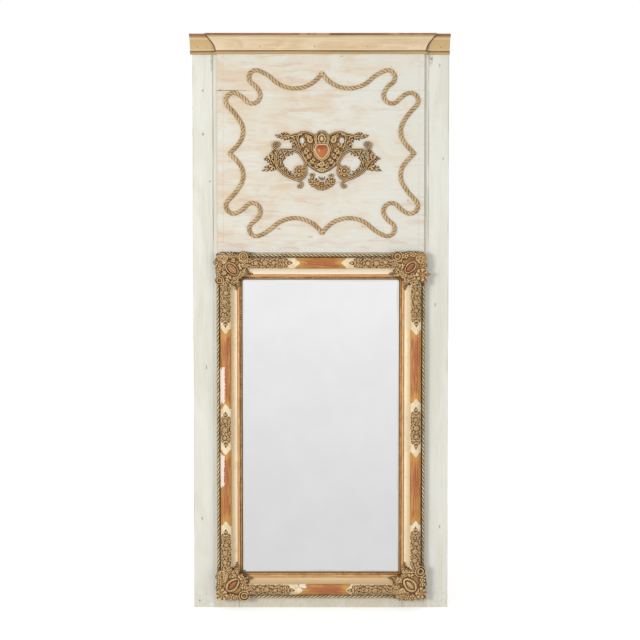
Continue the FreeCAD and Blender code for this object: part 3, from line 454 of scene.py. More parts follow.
# ---- Composition ornament -------------------------------------------------------------------------------------
class Relief:
    """Pressed ornament on a fine grid, in millimetres: how far each point is inside an outline, and its height."""

    def __init__(self, x0, x1, z0, z1, cell):
        self.x, self.z = np.meshgrid(np.arange(x0, x1, cell), np.arange(z0, z1, cell), indexing="ij")
        self.cell = cell
        self.inside = np.full(self.x.shape, -30.0)
        self.height = np.zeros(self.x.shape)
        self.stone = np.zeros(self.x.shape)
        self.ground = np.zeros(self.x.shape)

    def press(self, inside, height, edge=1.3, stone=0.0):
        """Add a form on the ground, rounded at its edge; it shows wherever it stands highest."""
        lift = self.ground + height * np.sqrt(1 - (1 - np.clip(inside / edge, 0, 1)) ** 2)
        over = (inside > 0) & (lift > self.height)
        self.stone = np.where(over, stone, self.stone)
        self.height = np.where(over, lift, self.height)
        self.inside = np.maximum(self.inside, inside)

    def pierce(self, inside):
        """Cut a hole where inside is above 0."""
        self.inside = np.minimum(self.inside, -inside)
        self.height = np.where(inside > 0, 0, self.height)

    def along(self, path):
        """Distance to a path and the share along it, for the points that are near it."""
        seen = path[::3] if len(path) > 60 else path
        flat = np.stack([self.x.ravel(), self.z.ravel()], axis=-1)
        low, high = seen.min(axis=0) - 26, seen.max(axis=0) + 26
        near = np.all((flat > low) & (flat < high), axis=1)
        gap = np.full(len(flat), 60.0)
        share = np.zeros(len(flat))
        spot = flat[near]
        ahead = np.diff(seen, axis=0)
        size = np.maximum((ahead ** 2).sum(axis=1), 1e-9)
        best = np.full(len(spot), 1e9)
        at = np.zeros(len(spot))
        for order in range(len(ahead)):
            away = spot - seen[order]
            part = np.clip((away @ ahead[order]) / size[order], 0, 1)
            off = away - part[:, None] * ahead[order]
            distance = np.hypot(off[:, 0], off[:, 1])
            closer = distance < best
            best = np.where(closer, distance, best)
            at = np.where(closer, (order + part) / len(ahead), at)
        gap[near], share[near] = best, at
        return gap.reshape(self.x.shape), share.reshape(self.x.shape)

    def within(self, outline):
        """How far each point is inside a closed outline; negative outside it."""
        gap, share = self.along(outline)
        held = np.zeros(self.x.shape, bool)
        for (x0, z0), (x1, z1) in zip(outline, np.roll(outline, -1, axis=0)):
            level = (x1 - x0) * (self.z - z0) / (z1 - z0 + 1e-12) + x0
            held ^= ((z0 > self.z) != (z1 > self.z)) & (self.x < level)
        return np.where(held, gap, -gap)

    def band(self, path, widths, height, flutes=1, ridge=0.35):
        """A moulded stem or scroll; widths are its half widths from start to end."""
        gap, share = self.along(path)
        half = np.interp(share, np.linspace(0, 1, len(widths)), widths)
        across = gap / half
        fluting = ridge * np.cos(math.pi * (1 + flutes) * np.clip(across, 0, 1))
        self.press(half - gap, height * (1 - ridge / 2 - fluting / 2) * (0.55 + 0.45 * half / max(widths)))

    def leaf(self, start, end, width, curl=0.0, lobes=4, height=4.0, vein=0.2):
        """An acanthus leaf from its stalk to its tip, with lobes, a midrib and veins; curl bends it sideways."""
        start, end = np.array(start, float), np.array(end, float)
        ahead = end - start
        bend = (start + end) / 2 + np.array([-ahead[1], ahead[0]]) * curl
        steps = np.linspace(0, 1, 20)[:, None]
        path = (1 - steps) ** 2 * start + 2 * steps * (1 - steps) * bend + steps ** 2 * end
        gap, share = self.along(path)
        outline = np.sin(math.pi * np.clip(share, 0.02, 0.98) ** 0.75) ** 0.65
        notch = 1 - 0.34 * abs(np.sin(math.pi * lobes * (share - 0.1 * gap / width))) ** 3
        half = width * outline * notch
        across = gap / np.maximum(width * outline, 0.1)
        body = 0.55 + 0.45 * np.sin(math.pi * np.clip(share * 0.9 + 0.1, 0, 1))
        rib = -0.28 * np.exp(-(gap / 0.9) ** 2)
        veins = vein * np.cos(2 * math.pi * lobes * (share - 0.16 * across))
        self.press(half - gap, height * np.maximum(body - 0.3 * across ** 2 + rib + veins, 0.12), 1.0)

    def flower(self, x, z, radius, height, turn, eye):
        """An open flower with five cupped petals round an eye; the eye is a share of the radius."""
        dx, dz = self.x - x, self.z - z
        reach = np.hypot(dx, dz)
        angle = np.arctan2(dz, dx) + turn
        petal = abs(np.cos(5 * angle / 2)) ** 0.55
        edge = radius * (0.62 + 0.38 * petal)
        share = reach / radius
        cup = 0.45 + 0.5 * np.clip(share, 0, 1) ** 1.2
        self.press(edge - reach, height * (cup * (0.55 + 0.45 * petal) - 0.25 * (share > 0.8) * (share - 0.8)), 1.4)
        bud = eye * radius
        self.press(bud - reach, height * (0.98 - 0.18 * np.cos(reach / bud * math.pi * 2)), 1.0)

    def rose(self, x, z, radius, height, turn, whorls):
        """A full rose: whorls of cupped petals, each inside and above the last, round a folded heart."""
        dx, dz = self.x - x, self.z - z
        reach = np.hypot(dx, dz)
        angle = np.arctan2(dz, dx) + turn
        layers = max(2, round(whorls + 0.6))
        for layer in range(layers):
            petals = (5, 5, 4, 3)[min(layer, 3)]
            wide = radius * (1 - 0.80 * layer / layers)
            lobe = abs(np.cos(petals * (angle + layer * 1.9) / 2)) ** 0.55
            edge = wide * (0.84 + 0.16 * lobe)
            lean = 0.12 * np.cos(angle - turn - 2.2)
            cup = (0.60 + 0.32 * layer / layers) * (0.74 + 0.26 * np.clip(reach / wide, 0, 1)) * (0.9 + 0.1 * lobe)
            near = (reach < wide * 1.12) & (reach < edge + 0.6)
            if layer:
                self.height = np.where(near & (reach > edge - 0.4), np.minimum(self.height,
                                       self.ground + height * (cup - 0.26)), self.height)
            self.press(edge - reach, height * (cup + lean * (1 - layer / layers)), 1.2)
        self.height = np.where(reach < radius * 0.09, self.height - 0.22 * height, self.height)

    def dome(self, x, z, radii, height, rim):
        """An oval boss, in a rim where the rim's width isn't 0."""
        reach = np.hypot((self.x - x) / radii[0], (self.z - z) / radii[1])
        away = (1 - reach) * min(radii)
        bowl = np.sqrt(np.clip(1 - (reach * 0.92) ** 2, 0, 1))
        if rim:
            self.press(away + rim, height * 0.62 + 0 * away, 0.9)
            self.press(-abs(away - 0.2) + 0.5, 0 * away + 0.2, 0.5)
        self.press(away - 0.4, height * (0.35 + 0.65 * bowl), 1.0)

    def fan(self, x, z, radius, heading, spread, ribs, height, hollow):
        """A shell: ribs that spread from a point."""
        dx, dz = self.x - x, self.z - z
        reach = np.hypot(dx, dz)
        angle = (np.arctan2(dz, dx) - math.radians(heading) + math.pi) % (2 * math.pi) - math.pi
        half = math.radians(spread) / 2
        scallop = abs(np.cos(angle / half * math.pi * ribs / 2)) ** 0.6
        inside = np.minimum(radius * (0.88 + 0.12 * scallop) - reach, (half - abs(angle)) * np.maximum(reach, 1))
        inside = np.minimum(inside, reach - radius * hollow)
        self.press(inside, height * (0.5 + 0.35 * scallop + 0.2 * np.clip(reach / radius, 0, 1)), 1.1)

    def beads(self, path, spacing, radius, height):
        """A string of small beads."""
        run = np.concatenate([[0], np.cumsum(np.hypot(*np.diff(path, axis=0).T))])
        for distance in np.arange(spacing / 2, run[-1], spacing):
            x, z = np.interp(distance, run, path[:, 0]), np.interp(distance, run, path[:, 1])
            reach = np.hypot(self.x - x, self.z - z)
            self.press(radius - reach, height * np.sqrt(np.clip(1 - (reach / radius) ** 2, 0.05, 1)), 0.5)

    def curl(self, x, z, radius, height, turns, hand, start=0.0):
        """A spiral that winds in to a button."""
        steps = np.linspace(0, 1, 40)
        angle = start + hand * steps * turns * 2 * math.pi
        reach = radius * (1 - 0.82 * steps)
        path = np.stack([x + reach * np.cos(angle), z + reach * np.sin(angle)], axis=-1)
        self.band(path, [radius * 0.34, radius * 0.34 * 0.6], height, 0, 0.2)
        self.dome(x, z, (radius * 0.3, radius * 0.3), height, 0)

    def blurred(self, field, width):
        """A field smoothed over a width in millimetres."""
        reach = min(int(3 * width / self.cell) + 1, (min(field.shape) - 1) // 2)
        steps = np.arange(-reach, reach + 1) * self.cell
        kernel = np.exp(-0.5 * (steps / width) ** 2)
        kernel /= kernel.sum()
        for axis in (0, 1):
            field = np.apply_along_axis(np.convolve, axis, field, kernel, "same")
        return field

    def cast(self, name, spot, finish, replaced=(), bed=lambda x, z: 0 * x):
        """The pressed piece as a closed mesh on its bed; spot gives the place of x, z and up."""
        slope = np.gradient(self.inside, self.cell)
        steep = np.maximum(slope[0] ** 2 + slope[1] ** 2, 0.25)
        outside = self.inside <= 0
        shift = np.where(outside & (self.inside > -1.6 * self.cell), -self.inside, 0) / steep
        x = self.x + shift * slope[0]
        z = self.z + shift * slope[1]

        def corners(field):
            return np.stack([field[:-1, :-1], field[1:, :-1], field[1:, 1:], field[:-1, 1:]], axis=-1)

        wanted = corners(self.inside > -1.6 * self.cell).all(axis=-1) & corners(~outside).any(axis=-1)
        used, quads = np.unique(corners(np.arange(x.size).reshape(x.shape))[wanted], return_inverse=True)
        quads = quads.reshape(-1, 4)
        seat = bed(x, z)
        top = seat + np.where(outside, 0, self.height)
        covered = (~outside).astype(float)

        def sunk(width):
            return self.blurred(self.height * covered, width) / (self.blurred(covered, width) + 1e-6) - self.height

        # cavity and broad measure how far each point lies below its neighbours. The finishes paint shade from them in
        # the hollows and a highlight on the high parts. Points near the outline and outside it get more, as painted
        # shade where the ornament meets its ground.
        cavity = np.where(outside, 1.2, sunk(1.5) + 0.4 * np.exp(-np.clip(self.inside, 0, 9) / 0.9))
        broad = np.where(outside, 1.0, sunk(4.0))
        x, z, top, seat, cavity, broad, stone = (part.ravel()[used] for part in (x, z, top, seat, cavity, broad,
                                                                                self.stone))
        points = np.concatenate([spot(x, z, top), spot(x, z, seat - 0.4)])
        count = len(used)
        edges = np.concatenate([quads[:, [0, 1]], quads[:, [1, 2]], quads[:, [2, 3]], quads[:, [3, 0]]])
        keys = {tuple(edge) for edge in edges.tolist()}
        walls = [(b, a, a + count, b + count) for a, b in keys if (b, a) not in keys]
        faces = [*quads.tolist(), *(quads[:, ::-1] + count).tolist(), *walls]
        # The underside gets one more, so the walls are painted darker towards their foot: painted shade.
        make_piece(name, points, faces, finish, replaced=replaced, cavity=np.concatenate([cavity, cavity + 1]),
                   broad=np.tile(broad, 2), stone=np.tile(stone, 2))


def smooth_path(points, steps=14):
    """A smooth path through points."""
    points = np.array(points, float)
    ends = np.vstack([2 * points[0] - points[1], points, 2 * points[-1] - points[-2]])
    path = []
    for order in range(1, len(ends) - 2):
        a, b, c, d = ends[order - 1:order + 3]
        for share in np.linspace(0, 1, steps, endpoint=False):
            path.append(0.5 * (2 * b + (c - a) * share + (2 * a - 5 * b + 4 * c - d) * share ** 2
                               + (3 * b - a - 3 * c + d) * share ** 3))
    return np.array(path + [ends[-2]])


CARTOUCHE_PLACE = (3, 1295)


def shield_half(work, hand):
    """One half of the cartouche, from the shield's rim and hood to the wing, the scroll and the palmette's leaves;
    hand is 1 on the right."""
    def stem(places, widths, height, flutes=1, ridge=0.35):
        work.band(smooth_path([(hand * x, z) for x, z in places]), widths, height, flutes, ridge)

    def leaf(x0, z0, x1, z1, width, bend, height, lobes=3, vein=0.26):
        work.leaf((hand * x0, z0), (hand * x1, z1), width, bend * hand, lobes, height, vein)

    # Rim of the shield and its hood scrolls.
    stem([(19, 68), (30, 74), (45, 79), (62, 77), (69, 66), (69, 48), (62, 26), (50, 4), (38, -14), (18, -29),
          (0, -36)], [3.2, 4.2, 3.6, 3.0], 7.0, 1, 0.5)
    leaf(47, 71, 24, 62, 7, 0.22, 6.0)
    leaf(63, 34, 40, 46, 7, -0.18, 5.4)
    for place in ((57, 18, 34, 33, 7.5, 0.2), (48, 3, 28, 22, 7.5, 0.22), (38, -12, 20, 8, 7.5, 0.22),
                  (24, -25, 9, -8, 7, 0.25)):
        leaf(*place, 5.6)
    work.curl(hand * 32, 56, 8.5, 6.5, 1.3, -hand, math.pi / 2)
    for x, z, radius, turn in ((44, 30, 5.0, 0.4), (33, 10, 4.6, 1.4), (17, -12, 4.4, 2.4)):
        work.rose(hand * x, z, radius, 5.5, turn, 1.5)
    stem([(16, 62), (17.5, 50), (14, 40), (20, 30), (21, 18), (14, 6), (0, -2)], [3.0, 3.0, 2.6, 2.0], 6.0, 0)
    stem([(0, 82), (8, 79), (17, 67), (20, 58), (14, 50)], [3.4, 3.8, 2.6], 7.5, 1, 0.5)
    stem([(0, 72), (7, 68), (10, 58), (6, 51)], [2.2, 2.2, 1.6], 6.5, 0)
    work.beads(np.array([(hand * 26, 22), (hand * 30, 32), (hand * 28, 44)]), 3.8, 1.8, 5.0)
    work.beads(np.array([(hand * 8, -3), (hand * 16, -8), (hand * 24, -14)]), 3.8, 1.6, 5.0)
    # Upper wing.
    stem([(60, 74), (80, 71), (100, 66), (118, 67), (130, 70)], [5.4, 5.0, 4.4, 2.6], 8.5, 1, 0.5)
    for place in ((72, 68, 90, 50, 8, 0.2, 8.0), (68, 60, 84, 34, 7.5, 0.15, 7.6), (86, 68, 108, 56, 7.5, 0.18, 7.8),
                  (102, 66, 134, 71, 7.0, -0.1, 8.4), (94, 72, 118, 76, 4.4, 0.1, 7.0)):
        leaf(*place)
    stem([(66, 44), (74, 38), (76, 30), (70, 26)], [3.0, 2.6, 2.0], 8.0)
    # Scroll: a band from the shield out to its side curl, one from there down to the spiral, and the foot.
    stem([(44, -12), (52, 2), (62, 17), (76, 26), (92, 29), (108, 29), (122, 30)], [3.2, 4.2, 4.6, 4.2, 3.6], 9.5, 1,
         0.45)
    stem([(122, 30), (131, 31), (138, 38), (137, 47), (129, 50), (123, 45), (126, 39), (131, 41)],
         [3.8, 4.6, 4.0, 2.6], 9.5)
    stem([(124, 30), (132, 14), (132, -4), (125, -24), (108, -40), (88, -50), (70, -56), (56, -52), (47, -40),
          (46, -26), (52, -16)], [4.0, 4.4, 4.6, 4.0, 3.4], 9.0, 1, 0.45)
    stem([(50, -14), (46, -4), (47, -26), (51, -42), (62, -50), (76, -48)], [2.4, 2.8, 2.6], 8.2, 0)
    stem([(74, -57), (62, -62), (57, -70), (61, -78), (68, -77), (67, -71)], [3.2, 3.6, 3.4, 2.2], 8.5)
    # Large and then small leaves inside and outside the scroll.
    for x0, z0, x1, z1, width, bend in (
            (110, 28, 92, 12, 6.5, 0.2), (122, 18, 104, 4, 6.5, 0.18), (96, 27, 84, 14, 4.5, -0.2),
            (128, 4, 112, -8, 6.5, 0.2), (126, -12, 108, -18, 6.0, -0.2), (118, -28, 98, -30, 6.5, -0.2),
            (104, -38, 88, -32, 5.5, 0.18), (90, -46, 82, -40, 4.5, 0.1), (128, 20, 158, -2, 6.5, 0.16),
            (130, 6, 160, 10, 6.0, -0.12), (130, -2, 150, -14, 6.0, 0.1), (126, -12, 172, -31, 6.8, -0.08),
            (128, -20, 146, -32, 5.0, 0.12), (138, -14, 166, -20, 4.0, -0.1)):
        leaf(x0, z0, x1, z1, width * 1.15, bend, 8.4)
    for place in ((116, 24, 100, 22, 5, 0.2), (122, 6, 106, 10, 5.5, -0.2), (124, -4, 108, 0, 5.5, -0.2),
                  (120, -22, 104, -22, 5.5, 0.2), (136, 18, 150, 16, 5, 0.2), (140, 2, 156, -8, 5.5, 0.2),
                  (134, 24, 144, 26, 4, 0.2)):
        leaf(*place, 7.4)
    work.curl(hand * 161, 3, 5.0, 6.5, 1.2, hand)
    # The rosette in the scroll.
    dx, dz = work.x - hand * 64.5, work.z + 31.3
    reach, petals = np.hypot(dx, dz), abs(np.cos(4 * np.arctan2(dz, dx))) ** 0.6
    work.press(14 + 2.4 * petals - reach, 6.2 + 2.2 * petals * np.clip(reach / 16, 0, 1), 1.4)
    work.press(1.6 - abs(reach - 8.2), 0 * reach + 9.8, 1.2)
    work.press(3.6 - reach, 0 * reach + 9.6, 1.6)
    # Palmette: leaves that rise from its bowl.
    leaf(8, -74, 30, -42, 8.5, -0.24, 7.8, 4, 0.2)
    leaf(4, -76, 16, -52, 6.5, -0.2, 8.2, 3, 0.2)
    leaf(14, -76, 38, -54, 8.0, -0.2, 7.2, 4, 0.2)
    work.curl(hand * 27, -44, 6.5, 8.0, 1.3, hand, math.pi)
    leaf(0, -58, 9, -47, 3.5, 0, 8.4, 2, 0.2)


def cartouche():
    """The rocaille cartouche: a pierced shield, a hood, leafy wings, a scroll with a rosette on each side, and a
    palmette below, with a glazed stone in the middle."""
    work = Relief(-178, 178, -90, 92, 0.8)
    half = [(24, -27), (42, -12), (56, 14), (68, 40), (72, 58), (69, 74), (50, 80), (34, 71), (19, 70)]
    inside = work.within(smooth_path([(0, -38), *half, (0, 76), *((-x, z) for x, z in half[::-1]), (0, -38)], 8))
    # The shield's ground has a trellis of small pits.
    pits = np.cos(2 * math.pi * (work.x + work.z) / 7) * np.cos(2 * math.pi * (work.x - work.z) / 7)
    work.press(inside, 3.4 + 0.8 * pits, 1.6)
    work.ground = np.where(inside > 1.5, 3.0, 0)
    for hand in (1, -1):
        shield_half(work, hand)
    work.fan(0, -60, 24, -90, 110, 5, 6.6, 0.12)
    for x, z in ((-20, -60), (-11, -68), (0, -71), (11, -68), (20, -60)):
        work.leaf((x * 0.75, z - 9), (x * 1.15, z + 8), 5.4, 0, 3, 9.0, 0.26)
    work.band(smooth_path([(-26, -72), (-14, -81), (0, -84), (14, -81), (26, -72)]), [2.2, 3.4, 2.2], 7.4, 1)
    work.curl(0, -11, 8.0, 6.6, 1.5, 1, math.pi)
    work.fan(0, -20, 17, -90, 130, 5, 6.6, 0.1)
    work.dome(0, 60, (5.5, 6.5), 7.0, 1.2)
    # Two bezels round the stone, and two pairs of holes.
    stone = smooth_path([(0, 43), (10, 43.5), (18, 36), (18.5, 25), (12, 12), (0, 2.5), (-12, 12), (-18.5, 25),
                         (-18, 36), (-10, 43.5), (0, 43)], 8)
    work.band(stone, [2.8, 2.8], 6.4, 0, 0.25)
    work.band(stone * 1.28 - np.array([0, 6.5]), [1.4, 1.4], 5.2, 0, 0.25)
    for hand in (1, -1):
        work.pierce(8 - np.hypot((work.x - hand * 57) / 0.95, (work.z - 55) / 1.15))
        work.pierce(3.2 - np.hypot(work.x - hand * 30, (work.z + 36) / 1.2))
    work.cast("cartouche_ornament", on_front(*CARTOUCHE_PLACE), finishes["composition"],
              ["cartouche_" + part for part in ("shield", "palmette", "scroll_left", "scroll_right", "rosette_left",
                                                "rosette_right")])
    setting = Relief(-24, 24, -2, 50, 0.7)
    inside = setting.within(stone)
    setting.press(inside - 0.6, 8.0 + 6.2 * np.sin(np.clip(inside / 15, 0, 1) * math.pi / 2), 2.0)
    setting.cast("cartouche_stone", on_front(*CARTOUCHE_PLACE), finishes["cabochon_glaze"], ["cartouche_cabochon"])


# The corner ornaments, in the directions of their first side: the bud in the middle with its two sizes and the
# redness of its heart, then the flowers round it.
CORNERS = {
    "top_left": ("left", (43.5, 46), (17, 9.5), (23, 16), 0.5,
                 (("rose", 14, 18, 17), ("open", 9, 78, 17), ("ring", 76, 10, 14.5), ("leaf", 70, 36, 13),
                  ("leaf", 36, 72, 13), ("small", 2, 41, 8.5), ("leaf", 27, 1, 11), ("small", 43, 5, 9.5),
                  ("bits", 62, 63, 10), ("leaf", 20, 51, 10), ("leaf", 56, 24, 10), ("small", 91, 26, 7))),
    "top_right": ("top", (43.5, 39), (15.5, 7.5), (21, 14), 0.85,
                  (("ring", 80, 8, 16), ("rose", 12, 12, 17), ("small", 36, 1, 9), ("shell", 11, 60, 18.5),
                   ("leaf", -7, 57, 8.5), ("leaf", 35, 66, 12), ("leaf", 69, 36, 12), ("small", 1, 33, 8.5),
                   ("bits", 62, 62, 10), ("small", 58, 6, 9), ("leaf", 27, 81, 9), ("small", 92, 30, 7))),
    "bottom_left": ("bottom", (46, 42.5), (17, 6.5), (24, 16.5), 1.0,
                    (("rose", 15, 66, 18), ("ring", 79, 10.5, 17), ("shell", 15, 13.5, 17.5), ("small", 6, 40, 9),
                     ("small", 42, 8, 9.5), ("leaf", 34, 88, 11), ("leaf", 70, 64, 13), ("leaf", 51, 67, 11),
                     ("leaf", 76, 38, 11), ("bits", 91, 30, 7), ("small", 59, 4, 8))),
    "bottom_right": ("right", (42.5, 42.5), (15.5, 6.5), (25, 17.5), 0.0,
                     (("ring", 81, 12, 17), ("rose", 17, 67, 17), ("shell", 19, 11, 17), ("small", 3, 35, 10),
                      ("leaf", 42, 4, 10), ("leaf", 74, 41, 13), ("leaf", 57, 74, 12), ("small", 58, 6, 9),
                      ("small", 4, 50, 8), ("leaf", 36, 82, 9), ("bits", 66, 60, 9))),
}
CORNER_FOOT = 14


def posy_flower(work, kind, x, y, radius, middle):
    """One of the larger flowers or leaves round the bud, which is at the middle."""
    dx, dy = work.x - x, work.z - y
    reach = np.hypot(dx, dy)
    share = reach / radius
    angle = np.arctan2(dy, dx) + rng.uniform(0, 6)
    if kind == "rose":
        work.rose(x, y, radius, 7.6, rng.uniform(0, 6), 2.7)
    elif kind == "open":
        layers = 0.62 + 0.38 * np.cos(2 * math.pi * (share * 2.9 + 0.05 * np.cos(5 * angle)))
        work.press(radius * (0.93 + 0.07 * abs(np.cos(2.5 * angle))) - reach,
                   7.4 * (0.45 + 0.55 * layers) * (1 - 0.3 * share ** 2), 1.5)
    elif kind == "ring":
        rings = np.where(share < 0.24, -0.25, 0.5 + 0.5 * np.cos(2 * math.pi * (share - 0.46) / 0.44))
        petals = 1 + 0.10 * np.cos(6 * angle) * (share > 0.6)
        work.press(radius * (0.94 + 0.06 * abs(np.cos(3 * angle))) - reach,
                   7.6 * (0.38 + 0.6 * rings * petals - 0.16 * share ** 2), 1.5)
    elif kind == "shell":
        ribs = abs(np.cos(3.5 * angle + 1.1 * share)) ** 0.7
        work.press(radius * (0.84 + 0.16 * ribs) - reach, 8.0 * (0.35 + 0.55 * ribs * (0.4 + 0.6 * share)), 1.5)
        work.rose(x, y, radius * 0.55, 8.6, rng.uniform(0, 6), 1.8)
    elif kind == "small":
        work.flower(x, y, radius, 7.0, rng.uniform(0, 6), 0.32)
    elif kind == "bits":
        for order in range(7):
            turn = order * 2.4
            spread = radius * math.sqrt(order / 7)
            work.rose(x + spread * math.cos(turn), y + spread * math.sin(turn), radius * 0.36, 4.5, turn, 1.3)
    else:
        way = np.array([x, y]) - middle
        way /= np.hypot(*way)
        work.leaf(np.array([x, y]) - way * radius, np.array([x, y]) + way * radius, radius * 0.72,
                  rng.uniform(-0.12, 0.12), 3, 7.0, 0.22)


def corner_ornament(corner):
    """A posy over a mitre: a folded bud in the middle, and roses, ringed flowers and leaves pressed round it."""
    side, middle, heart, outer, redness, flowers = CORNERS[corner]
    work = Relief(-16, 106, -16, 106, 0.8)
    near, far = np.minimum(work.x, work.z), np.maximum(work.x, work.z)
    dx, dy = work.x - middle[0], work.z - middle[1]
    # The ground is a low dome that stays above the moulding; past the hollow's start it falls to the moulding.
    rail = frame_up(np.clip(near, 0.2, 72)) - CORNER_FOOT
    dome = 15.5 + 6.0 * np.clip(1 - (np.hypot(work.x - 44, work.z - 44) / 54) ** 2, 0, 1)
    work.ground = np.maximum(dome, np.where(near > 0, rail + 0.9, 0))
    fall = np.clip((far - 80) / 16, 0, 1) * (near > 44)
    work.ground = (1 - fall) * work.ground + fall * (rail + 0.6)
    work.press(31 - np.hypot(dx, dy), 0 * work.x + 0.3, 1)
    block = np.minimum(46 - np.maximum(abs(work.x - 44), abs(work.z - 44)), 41 - (work.x + work.z - 88) / 1.42)
    ragged = 3.0 * np.sin(work.x * 0.31 + 1) * np.sin(work.z * 0.37) + 1.6 * np.sin((work.x + work.z) * 0.62)
    work.press(block + ragged - 3, 0 * work.x + 0.3, 1)
    # A fringe of leaves, and small flowers strewn between.
    for order in range(34):
        heading = 2 * math.pi * (order + rng.uniform(-0.3, 0.3)) / 34
        way = np.array([math.cos(heading), math.sin(heading)])
        long = min(47 / max(abs(way)), 58, 38 if (way > 0.3).all() else 99) + rng.uniform(-3, 1.5)
        work.leaf(middle + way * (long - 17), middle + way * long, rng.uniform(5, 6.5), rng.uniform(-0.2, 0.2), 3,
                  rng.uniform(3.0, 4.6), 0.28)
    for order in range(26):
        x, y = rng.uniform(-2, 88), rng.uniform(-2, 88)
        if x + y < 138 and math.hypot(x - middle[0], y - middle[1]) > 24:
            work.flower(x, y, rng.uniform(4, 5.5), rng.uniform(4.5, 6), rng.uniform(0, 6), 0.36)
    for kind, x, y, radius in flowers:
        posy_flower(work, kind, x, y, radius, np.array(middle))
    # Two sprigs run on over the hollow, beside the bead.
    for turned in (False, True):
        for along, across, long, aside in ((72, 58, 15, 4), (79, 55, 13, -4), (82, 59, 15, 3), (90, 57, 15, 0)):
            ends = np.array([[along, across], [along + long, across + aside]], float)
            work.leaf(*(ends[:, ::-1] if turned else ends), 4.6, 0.12 * np.sign(aside), 3, 4.4, 0.24)
    # The bud: two wrapping leaves, a rim and a ribbed heart, along the mitre.
    u, v = (dx + dy) / math.sqrt(2), (dy - dx) / math.sqrt(2)
    work.height = np.where(np.hypot(u / (outer[0] + 2), v / (outer[1] + 2)) < 1, work.ground, work.height)
    wrap = np.hypot(u / outer[0], v / outer[1])
    folds = 0.5 + 0.5 * np.cos(2 * math.pi * (wrap * 2.6 + 0.10 * np.sin(u / 5)))
    work.press((1 - wrap) * outer[1], 5.6 * (0.45 + 0.55 * folds) + 1.6 * (1 - wrap), 1.6)
    core = np.hypot(u / heart[0], v / heart[1])
    work.height = np.where(core < 1.22, work.ground + 1.2, work.height)
    ribs = np.cos(2 * math.pi * v / (heart[1] * 0.72) + 0.3 * np.sin(u / 6))
    work.press((1 - core) * heart[1], 7.4 * np.sqrt(np.clip(1.15 - core ** 2, 0.05, 1.2)) + 0.7 * ribs, 1.6,
               stone=redness)
    work.cast("corner_posy_" + corner, on_side(side), finishes["composition"], ["corner_ornament_" + corner],
              bed=lambda x, z: CORNER_FOOT + 0 * x)


SPRAYS = {
    "top": ((87, 219, 1), (379, 511, -1)),
    "bottom": ((88, 224, 1), (374, 510, -1)),
    "left": ((90, 211, 1), (452, 556, 0), (790, 905, -1)),
    "right": ((92, 211, 1), (434, 556, 0), (784, 902, -1)),
}


def spray(work, first, last, way):
    """A thick spray of small flowers and leaves that fills the band and ends in a leaf; way 0 ends so twice."""
    tip = 25
    start = first + (tip if way <= 0 else 0)
    stop = last - (tip if way >= 0 else 0)
    wave = 14.0 + 1.5 * np.sin(work.x * 0.55) * np.sin(work.x * 0.23 + 1)
    taper = np.clip(np.minimum(work.x - start + 10, stop + 10 - work.x) / 14, 0, 1) ** 0.5
    work.press(np.minimum(wave * taper - abs(work.z - BAND_MIDDLE), 6), 0 * work.x + 1.6, 1.2)
    work.ground = np.where(work.inside > 0, 1.2, 0)
    for end, hand in ((stop, 1), (start, -1)):
        if way in (0, hand):
            work.leaf((end - 4 * hand, BAND_MIDDLE), (end + tip * hand, BAND_MIDDLE), 8.0, 0.03, 3, 4.6, 0.26)
            for up in (1, -1):
                work.leaf((end - 8 * hand, BAND_MIDDLE + 5 * up), (end + 11 * hand, BAND_MIDDLE + 10.5 * up), 6.0,
                          0.1 * up * hand, 3, 4.6)
    for order, along in enumerate(np.arange(start + 1, stop + 2, 6.4)):
        flip = 1 if (order // 2) % 2 else -1
        for across in ((-10.6, -1.6, 7.4) if order % 2 else (-6.0, 3.0, 11.2)):
            x = along + rng.uniform(-1, 1)
            z = BAND_MIDDLE + across * flip + rng.uniform(-0.8, 0.8)
            turn = rng.uniform(0, 2 * math.pi)
            pick = rng.random()
            if pick < 0.66:
                turn = rng.uniform(-0.9, 0.9) + (math.pi if rng.random() < 0.5 else 0)
                reach = rng.uniform(8.0, 11.5)
                dx, dz = 0.5 * reach * math.cos(turn), 0.5 * reach * math.sin(turn)
                work.leaf((x - dx, z - dz), (x + dx, z + dz), rng.uniform(3.2, 4.6), rng.uniform(-0.25, 0.25), 2,
                          rng.uniform(3.2, 4.8), 0.3)
            elif pick < 0.84:
                work.rose(x, z, rng.uniform(3.6, 5.0), rng.uniform(4.2, 5.4), turn, 1.5)
            else:
                work.flower(x, z, rng.uniform(3.8, 5.0), rng.uniform(4.2, 5.0), turn, 0.36)
    middle = (start + stop) / 2
    for place, radius in ((middle, 8.4), (middle + 24 * (way or 1), 6.8), (middle - 26 * (way or 1), 7.2)):
        if start < place < stop:
            aside = rng.uniform(-2.5, 2.5)
            near = np.hypot(work.x - place, work.z - BAND_MIDDLE - aside) < radius + 0.8
            work.height = np.where(near, work.ground, work.height)
            work.rose(place, BAND_MIDDLE + aside, radius, 5.8, rng.uniform(0, 6), 2.2)


def frame_sprays(side):
    """The sprays on one side, cast on the moulding's curved band."""
    for order, (first, last, way) in enumerate(SPRAYS[side]):
        work = Relief(first - 4, last + 4, 10.9, 42.2, 0.7)
        spray(work, first, last, way)
        work.cast("frame_spray_%s_%d" % (side, order), on_side(side), finishes["composition"],
                  ["frame_sprays_" + side], bed=lambda x, z: frame_up(z) - 0.3)


# ---- Fittings -------------------------------------------------------------------------------------------------
def slotted_screw(name, spot, finish):
    """A domed screw head with a slot."""
    work = Relief(-4, 4, -4, 4, 0.25)
    reach = np.hypot(work.x, work.z)
    slot = abs(work.x * 0.8 + work.z * 0.6) < 0.45
    work.press(3.15 - reach, 0.55 - 0.45 * slot, 0.4)
    work.cast(name, spot, finish)


def nail_head(name, spot, finish, radius):
    """A hammered nail head, not quite round."""
    work = Relief(-3, 3, -3, 3, 0.3)
    reach = np.hypot(work.x, work.z)
    edge = radius * (1 + 0.08 * np.cos(3 * np.arctan2(work.z, work.x)))
    work.press(edge - reach, 0.5 + 0.1 * np.cos(reach * 3), 0.5)
    work.cast(name, spot, finish)


